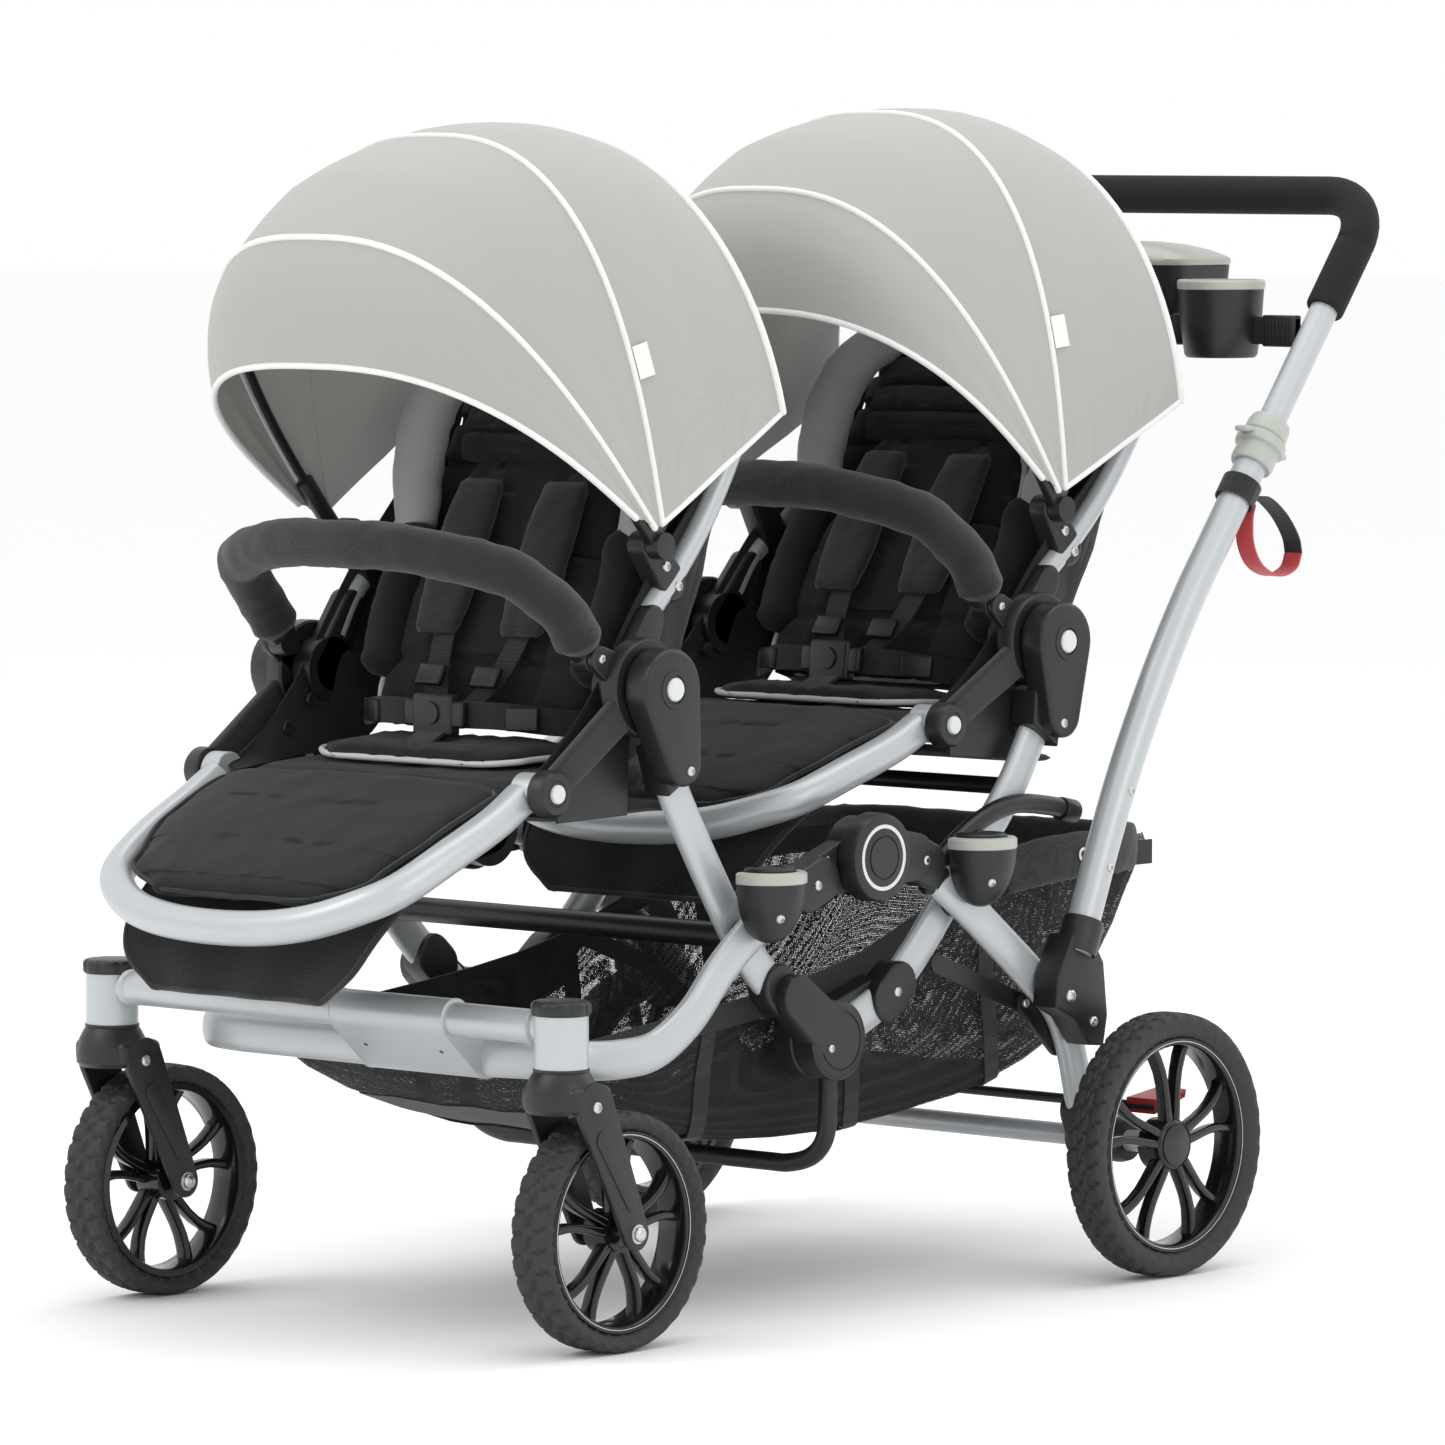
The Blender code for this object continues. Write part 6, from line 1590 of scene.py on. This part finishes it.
def build_footrest(end):
    to_world, body = SEAT[end], f"{end}_footrest"
    x = FOOT_DISC[0] - 0.0155 - 0.0008
    y, z = FOOT
    half = [(x, y - 0.010, z - 0.005), (x, y - 0.044, z - 0.025), (x - 0.004, y - 0.098, z - 0.051)]
    half += [(0.171, y - 0.146, z - 0.077), (0.146, y - 0.172, z - 0.092),
             (0.108, y - 0.189, z - 0.105), (0.060, y - 0.1975, z - 0.1125)]
    half += [(0.0, y - 0.200, z - 0.115)]
    path = curve_through(mirrored_path(half), 7)
    rail = sweep(path, ring(0.0155, 0.0155, 26))
    parts = [rail]
    for _, side in SIDES:
        parts.append(rounded_disc(0.0175, 0.0225, 0.003, Vector((side * 0.180, *FOOT)),
                                  (side, 0, 0)))
    piece(f"{end}_footrest_tube", moved(joined(parts), to_world), PAINT, body, f"{end}_footrest",
          slot="frame_paint")
    rest = [(y - 0.004, z + 0.002), (y - 0.040, z - 0.010), (y - 0.098, z - 0.036),
            (y - 0.150, z - 0.068), (y - 0.176, z - 0.090)]
    pad = pillow(rest, [0.166, 0.168, 0.164, 0.146, 0.104], 0.0125, 0.9, steps=(44, 44), power=9,
                 hollow=0.004)
    soft(f"{end}_leg_rest", crumpled(pad, 0.0016, 0.06, 9.0), SEAT_CLOTH, body, fill=0.6,
         matrix=to_world)
    cord_line = edge_piping(rest, [0.167, 0.169, 0.165, 0.148, 0.106], ends=(0.03, 0.99),
                            corner=0.12)
    soft(f"{end}_leg_rest_welt", piping_loop(cord_line, 0.0024), SLEEVE_CLOTH, body, fill=1.0,
         matrix=to_world)
    flap = [(y - 0.060, z - 0.052, 0.160), (y - 0.110, z - 0.082, 0.158),
            (y - 0.150, z - 0.118, 0.152),
            (y - 0.168, z - 0.150, 0.138), (y - 0.172, z - 0.176, 0.104)]
    rows = []
    for k in range(13):
        t = k / 12
        place = curve_through([(w, a, b) for a, b, w in flap], 6)
        p = place[round(t * (len(place) - 1))]
        row = []
        for i in range(25):
            u = -1 + 2 * i / 24
            wave = 0.0020 * math.sin(9 * u + 3 * t)
            row.append(Vector((u * p.x, p.y + wave, p.z + 0.012 * (1 - abs(u) ** 3) * (1 - t))))
        rows.append(row)
    cloth(f"{end}_flap", rows, SEAT_CLOTH, body, flat=(0.32, 0.19), held="hung",
          rests_on=[f"{end}_footrest_tube"],
          wall=0.0035, slot="seat_fabric", matrix=to_world)
    edge = [row[0] for row in rows] + rows[-1][1:-1] + [row[-1] for row in rows[::-1]]
    binding = sweep(curve_through(edge, 2), ring(0.0030, 0.0030, 10))
    soft(f"{end}_flap_binding", binding, WEBBING, body, fill=1.0, matrix=to_world)


def build_bumper(end):
    to_world, body = SEAT[end], f"{end}_bumper"
    x, (y, z) = RAIL_X - 0.003, BUMPER
    half = [(x, y - 0.004, z + 0.007), (x, y - 0.014, z + 0.021),
            (x - 0.002, y - 0.034, z + 0.044), (0.171, y - 0.069, z + 0.072)]
    half += [(0.152, y - 0.084, z + 0.0815), (0.122, y - 0.099, z + 0.0895),
             (0.070, y - 0.113, z + 0.097), (0.0, y - 0.118, z + 0.099)]
    path = curve_through(mirrored_path(half), 9)
    sleeve = sweep(path, ring(0.0212, 0.0212, 28),
                   scale=lambda t: min(1.0, 0.62 + 9 * min(t, 1 - t) ** 1.1), ends="round",
                   dome=0.006)
    crumpled(sleeve, 0.0016, 0.035, 10.0)
    soft(f"{end}_bumper_sleeve", sleeve, SLEEVE_CLOTH, body, f"{end}_bumper_bar", fill=0.9,
         matrix=to_world)
    seam = [p + Vector((0, 0.010, -0.0190)) for p in path[6:-6]]
    soft(f"{end}_bumper_seam", sweep(seam, ring(0.0016, 0.0022, 8)), SLEEVE_CLOTH, body, fill=1.0,
         matrix=to_world)
    parts = []
    for _, side in SIDES:
        inner, outer = RAIL_X - 0.012, BASE[0] - 0.0006
        knuckle = rounded_disc(0.0125, outer - inner, 0.0015, Vector((side * inner, *BUMPER)),
                               (side, 0, 0), 32)
        parts.append(knuckle)
        cup = [(0.0, 0.0), (0.0120, 0.0), (0.0145, 0.006), (0.0155, 0.020), (0.0150, 0.024),
               (0.0, 0.024)]
        parts.append(lathe(cup, Vector((side * (x - 0.001), y - 0.002, z + 0.003)),
                           (0, -0.53, 0.85), 28))
    piece(f"{end}_bumper_ends", moved(joined(parts), to_world), PLASTIC, body, slot="black_plastic")
    heads = [screw_head(Vector((side * (x + 0.0145), y - 0.012 + a, z + 0.018 + b)), (side, 0, 0),
                        0.0032)
             for _, side in SIDES for a, b in ((0.0, 0.0), (0.008, -0.010))]
    piece(f"{end}_bumper_screws", moved(joined(heads), to_world), NICKEL, body)


# ---------------------------------------------------------------- canopies

HALF_WIDTH = 0.207
RIDGE, HOOP = 102.5, 130.5
ARCH_STEPS = 44


def arch(half_width, height, steps=ARCH_STEPS, power=0.74):
    """Half of an ellipse from +X to -X, squarer as the power falls."""
    pairs = []
    for i in range(steps + 1):
        a = math.pi * i / steps
        across = math.copysign(abs(math.cos(a)) ** power, math.cos(a))
        pairs.append((half_width * across, height * abs(math.sin(a)) ** power))
    return pairs


def fan_row(angle, radius, base, half_width=HALF_WIDTH):
    a = math.radians(angle)
    row = []
    for x, height in arch(half_width, radius - base):
        reach = base + height
        row.append(Vector((x, CANOPY_AT[0] + reach * math.cos(a),
                           CANOPY_AT[1] + reach * math.sin(a))))
    return row


def between(first, second, count, swell=0.0, wave=0.0):
    """Rows from one arch to the next, swollen or sunk between them."""
    rows = []
    for k in range(count):
        t = k / count
        row = []
        for i, (a, b) in enumerate(zip(first, second)):
            p = a * (1 - t) + b * t
            top = math.sin(math.pi * i / (len(first) - 1))
            out = Vector((p.x * 1.2, p.y - CANOPY_AT[0], p.z - CANOPY_AT[1])).normalized()
            ripple = wave * math.sin(i * 0.9 + 5 * t) * (1 - top) * 1.4
            row.append(p + out * (math.sin(math.pi * t) * (swell * (0.35 + 0.65 * top) + ripple)))
        rows.append(row)
    return rows


def cord_along(row, radius=0.0030):
    return sweep(row, ring(radius, radius, 12), (0.05, 0, 1), ends="round")


def build_canopy(end):
    to_world, back, moving = SEAT[end], f"{end}_back", f"{end}_canopy"
    ridge = fan_row(RIDGE, 0.367, 0.020)
    second = fan_row(RIDGE + 0.1, 0.367, 0.020)
    mid = fan_row(116.5, 0.3665, 0.020)
    hoop_row = fan_row(HOOP, 0.356, 0.020)
    visor_mid = fan_row(138.5, 0.332, 0.036)
    visor_edge = fan_row(146.0, 0.284, 0.045)
    rows = between(second, mid, 7, 0.002) + between(mid, hoop_row, 7, 0.002) + [hoop_row]
    panel = cloth(f"{end}_canopy_panel", rows, CANOPY, None, f"{end}_canopy_front",
                  flat=(0.86, 0.20), held="stretched",
                  rests_on=[f"{end}_hoop"], wall=0.0016, slot="canopy_fabric", matrix=to_world)
    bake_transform(panel)
    inner = [[Vector((p.x * 0.985, CANOPY_AT[0] + (p.y - CANOPY_AT[0]) * 0.985,
                      CANOPY_AT[1] + (p.z - CANOPY_AT[1]) * 0.985)) for p in row]
             for row in rows]
    lining = cloth(f"{end}_lining_front", inner, LINING, None, flat=(0.85, 0.20), held="stretched",
                   rests_on=[panel.name],
                   wall=0.0010, slot="canopy_fabric", matrix=to_world)
    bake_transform(lining)
    rows = between(hoop_row, visor_mid, 6, 0.004) + between(visor_mid, visor_edge, 6, 0.003) + [visor_edge]
    cloth(f"{end}_visor", rows, CANOPY, moving, flat=(0.84, 0.11), held="stretched",
          rests_on=[f"{end}_hoop"],
          wall=0.0022, slot="canopy_fabric", matrix=to_world)
    corner, top = (0.176, 0.236), (0.112, 0.482)
    last = [Vector((x, corner[0] + (top[0] - corner[0]) * h, corner[1] + (top[1] - corner[1]) * h))
            for x, h in arch(HALF_WIDTH + 0.006, 1.0, power=0.95)]
    middle = []
    for i, (a, b) in enumerate(zip(ridge, last)):
        p = (a + b) / 2
        p.z += 0.012 * math.sin(math.pi * i / ARCH_STEPS)
        middle.append(p)
    rows = between(ridge, middle, 8, 0.003, 0.0) + between(middle, last, 8, 0.003, 0.0) + [last]
    cloth(f"{end}_canopy_back", rows, CANOPY, back, f"{end}_canopy_rear", flat=(0.92, 0.30),
          held="stretched",
          rests_on=[f"{end}_back_tube"], wall=0.0020, slot="canopy_fabric", matrix=to_world)
    inner = [[Vector((p.x * 0.982, p.y, CANOPY_AT[1] + (p.z - CANOPY_AT[1]) * 0.984)) for p in row] for row in rows]
    cloth(f"{end}_lining_back", inner, LINING, back, flat=(0.90, 0.30), held="stretched",
          rests_on=[f"{end}_canopy_back"],
          wall=0.0010, slot="canopy_fabric", matrix=to_world)
    bound = [p + Vector((0, 0.001, 0)) for p in last]
    pipes = ((f"{end}_ridge_piping", ridge, back), (f"{end}_hoop_piping", hoop_row, moving),
             (f"{end}_visor_piping", visor_edge, moving), (f"{end}_edge_piping", bound, back))
    for name, row, body in pipes:
        out = [Vector((p.x * 1.004, p.y, p.z)) + (Vector((0, p.y - CANOPY_AT[0],
                                                          p.z - CANOPY_AT[1])).normalized() * 0.0012) for p in row]
        soft(name, cord_along(out, 0.0036 if "edge" in name else 0.0030), PIPING, body, fill=1.0,
             matrix=to_world)
    # the lower edges of the side panels
    for side_index, side_name in ((0, "left"), (-1, "right")):
        line = [row[side_index] for row in rows]
        soft(f"{end}_lower_piping_{side_name}", cord_along(line), PIPING, back, fill=1.0,
             matrix=to_world)
    outline = arch(HALF_WIDTH - 0.0085, 0.345, 40)
    a = math.radians(HOOP)
    path = [Vector((x, CANOPY_AT[0] + h * math.cos(a), CANOPY_AT[1] + h * math.sin(a))) for x,
            h in outline]
    wire = sweep(path, ring(0.0042, 0.0042, 14), (0.05, 0, 1))
    parts, sockets = [wire], []
    for _, side in SIDES:
        pivot_disc = rounded_disc(0.012, HALF_WIDTH + 0.002 - RAIL_X - 0.0045, 0.001,
                                  Vector((side * (RAIL_X + 0.0045), *CANOPY_AT)), (side, 0, 0), 32)
        sockets.append(pivot_disc)
        arm = [Vector((side * (HALF_WIDTH - 0.0085), CANOPY_AT[0] + r * math.cos(a),
                       CANOPY_AT[1] + r * math.sin(a))) for r in (0.008, 0.03, 0.062)]
        sockets.append(sweep(arm, ring(0.0065, 0.0085, 18, 0.7), ends="round", dome=0.003))
    piece(f"{end}_hoop", moved(joined(parts), to_world), BLACK_PAINT, moving, f"{end}_canopy_hoop",
          slot="black_paint")
    piece(f"{end}_hoop_sockets", moved(joined(sockets), to_world), PLASTIC, moving,
          slot="black_plastic")
    place = ridge[5]
    after = middle[5]
    way = (after - place).normalized()
    down = (ridge[3] - ridge[6]).normalized()
    tag_rows = [[place + X_AXIS * 0.0035 + way * s + down * d for d in (0.0, 0.010, 0.020, 0.030)] for s in (0.003, 0.010, 0.017, 0.022)]
    cloth(f"{end}_tag", tag_rows, PIPING, back, flat=(0.019, 0.030), held="laid",
          rests_on=[f"{end}_canopy_back"], wall=0.0008,
          slot="canopy_fabric", matrix=to_world)


def build_seats():
    for end in ENDS:
        build_seat_frame(end)
        build_back_frame(end)
        build_cushions(end)
        build_harness(end)
        build_side_wings(end)
        build_footrest(end)
        build_bumper(end)
        build_canopy(end)


def save_size():
    bpy.context.view_layer.update()


camera_and_studio()
for end_name in ENDS:
    for wheel_side, wheel_sign in SIDES:
        build_wheel(end_name, wheel_side, wheel_sign)
for fork_side, _ in SIDES:
    build_fork(fork_side)
build_crossbar()
build_front_legs()
build_rear_legs()
build_supports()
build_covers()
build_links()
build_mounts()
build_push_tubes()
build_handle()
build_tray()
build_wrist_strap()
build_brake()
build_basket()
build_seats()
save_size()
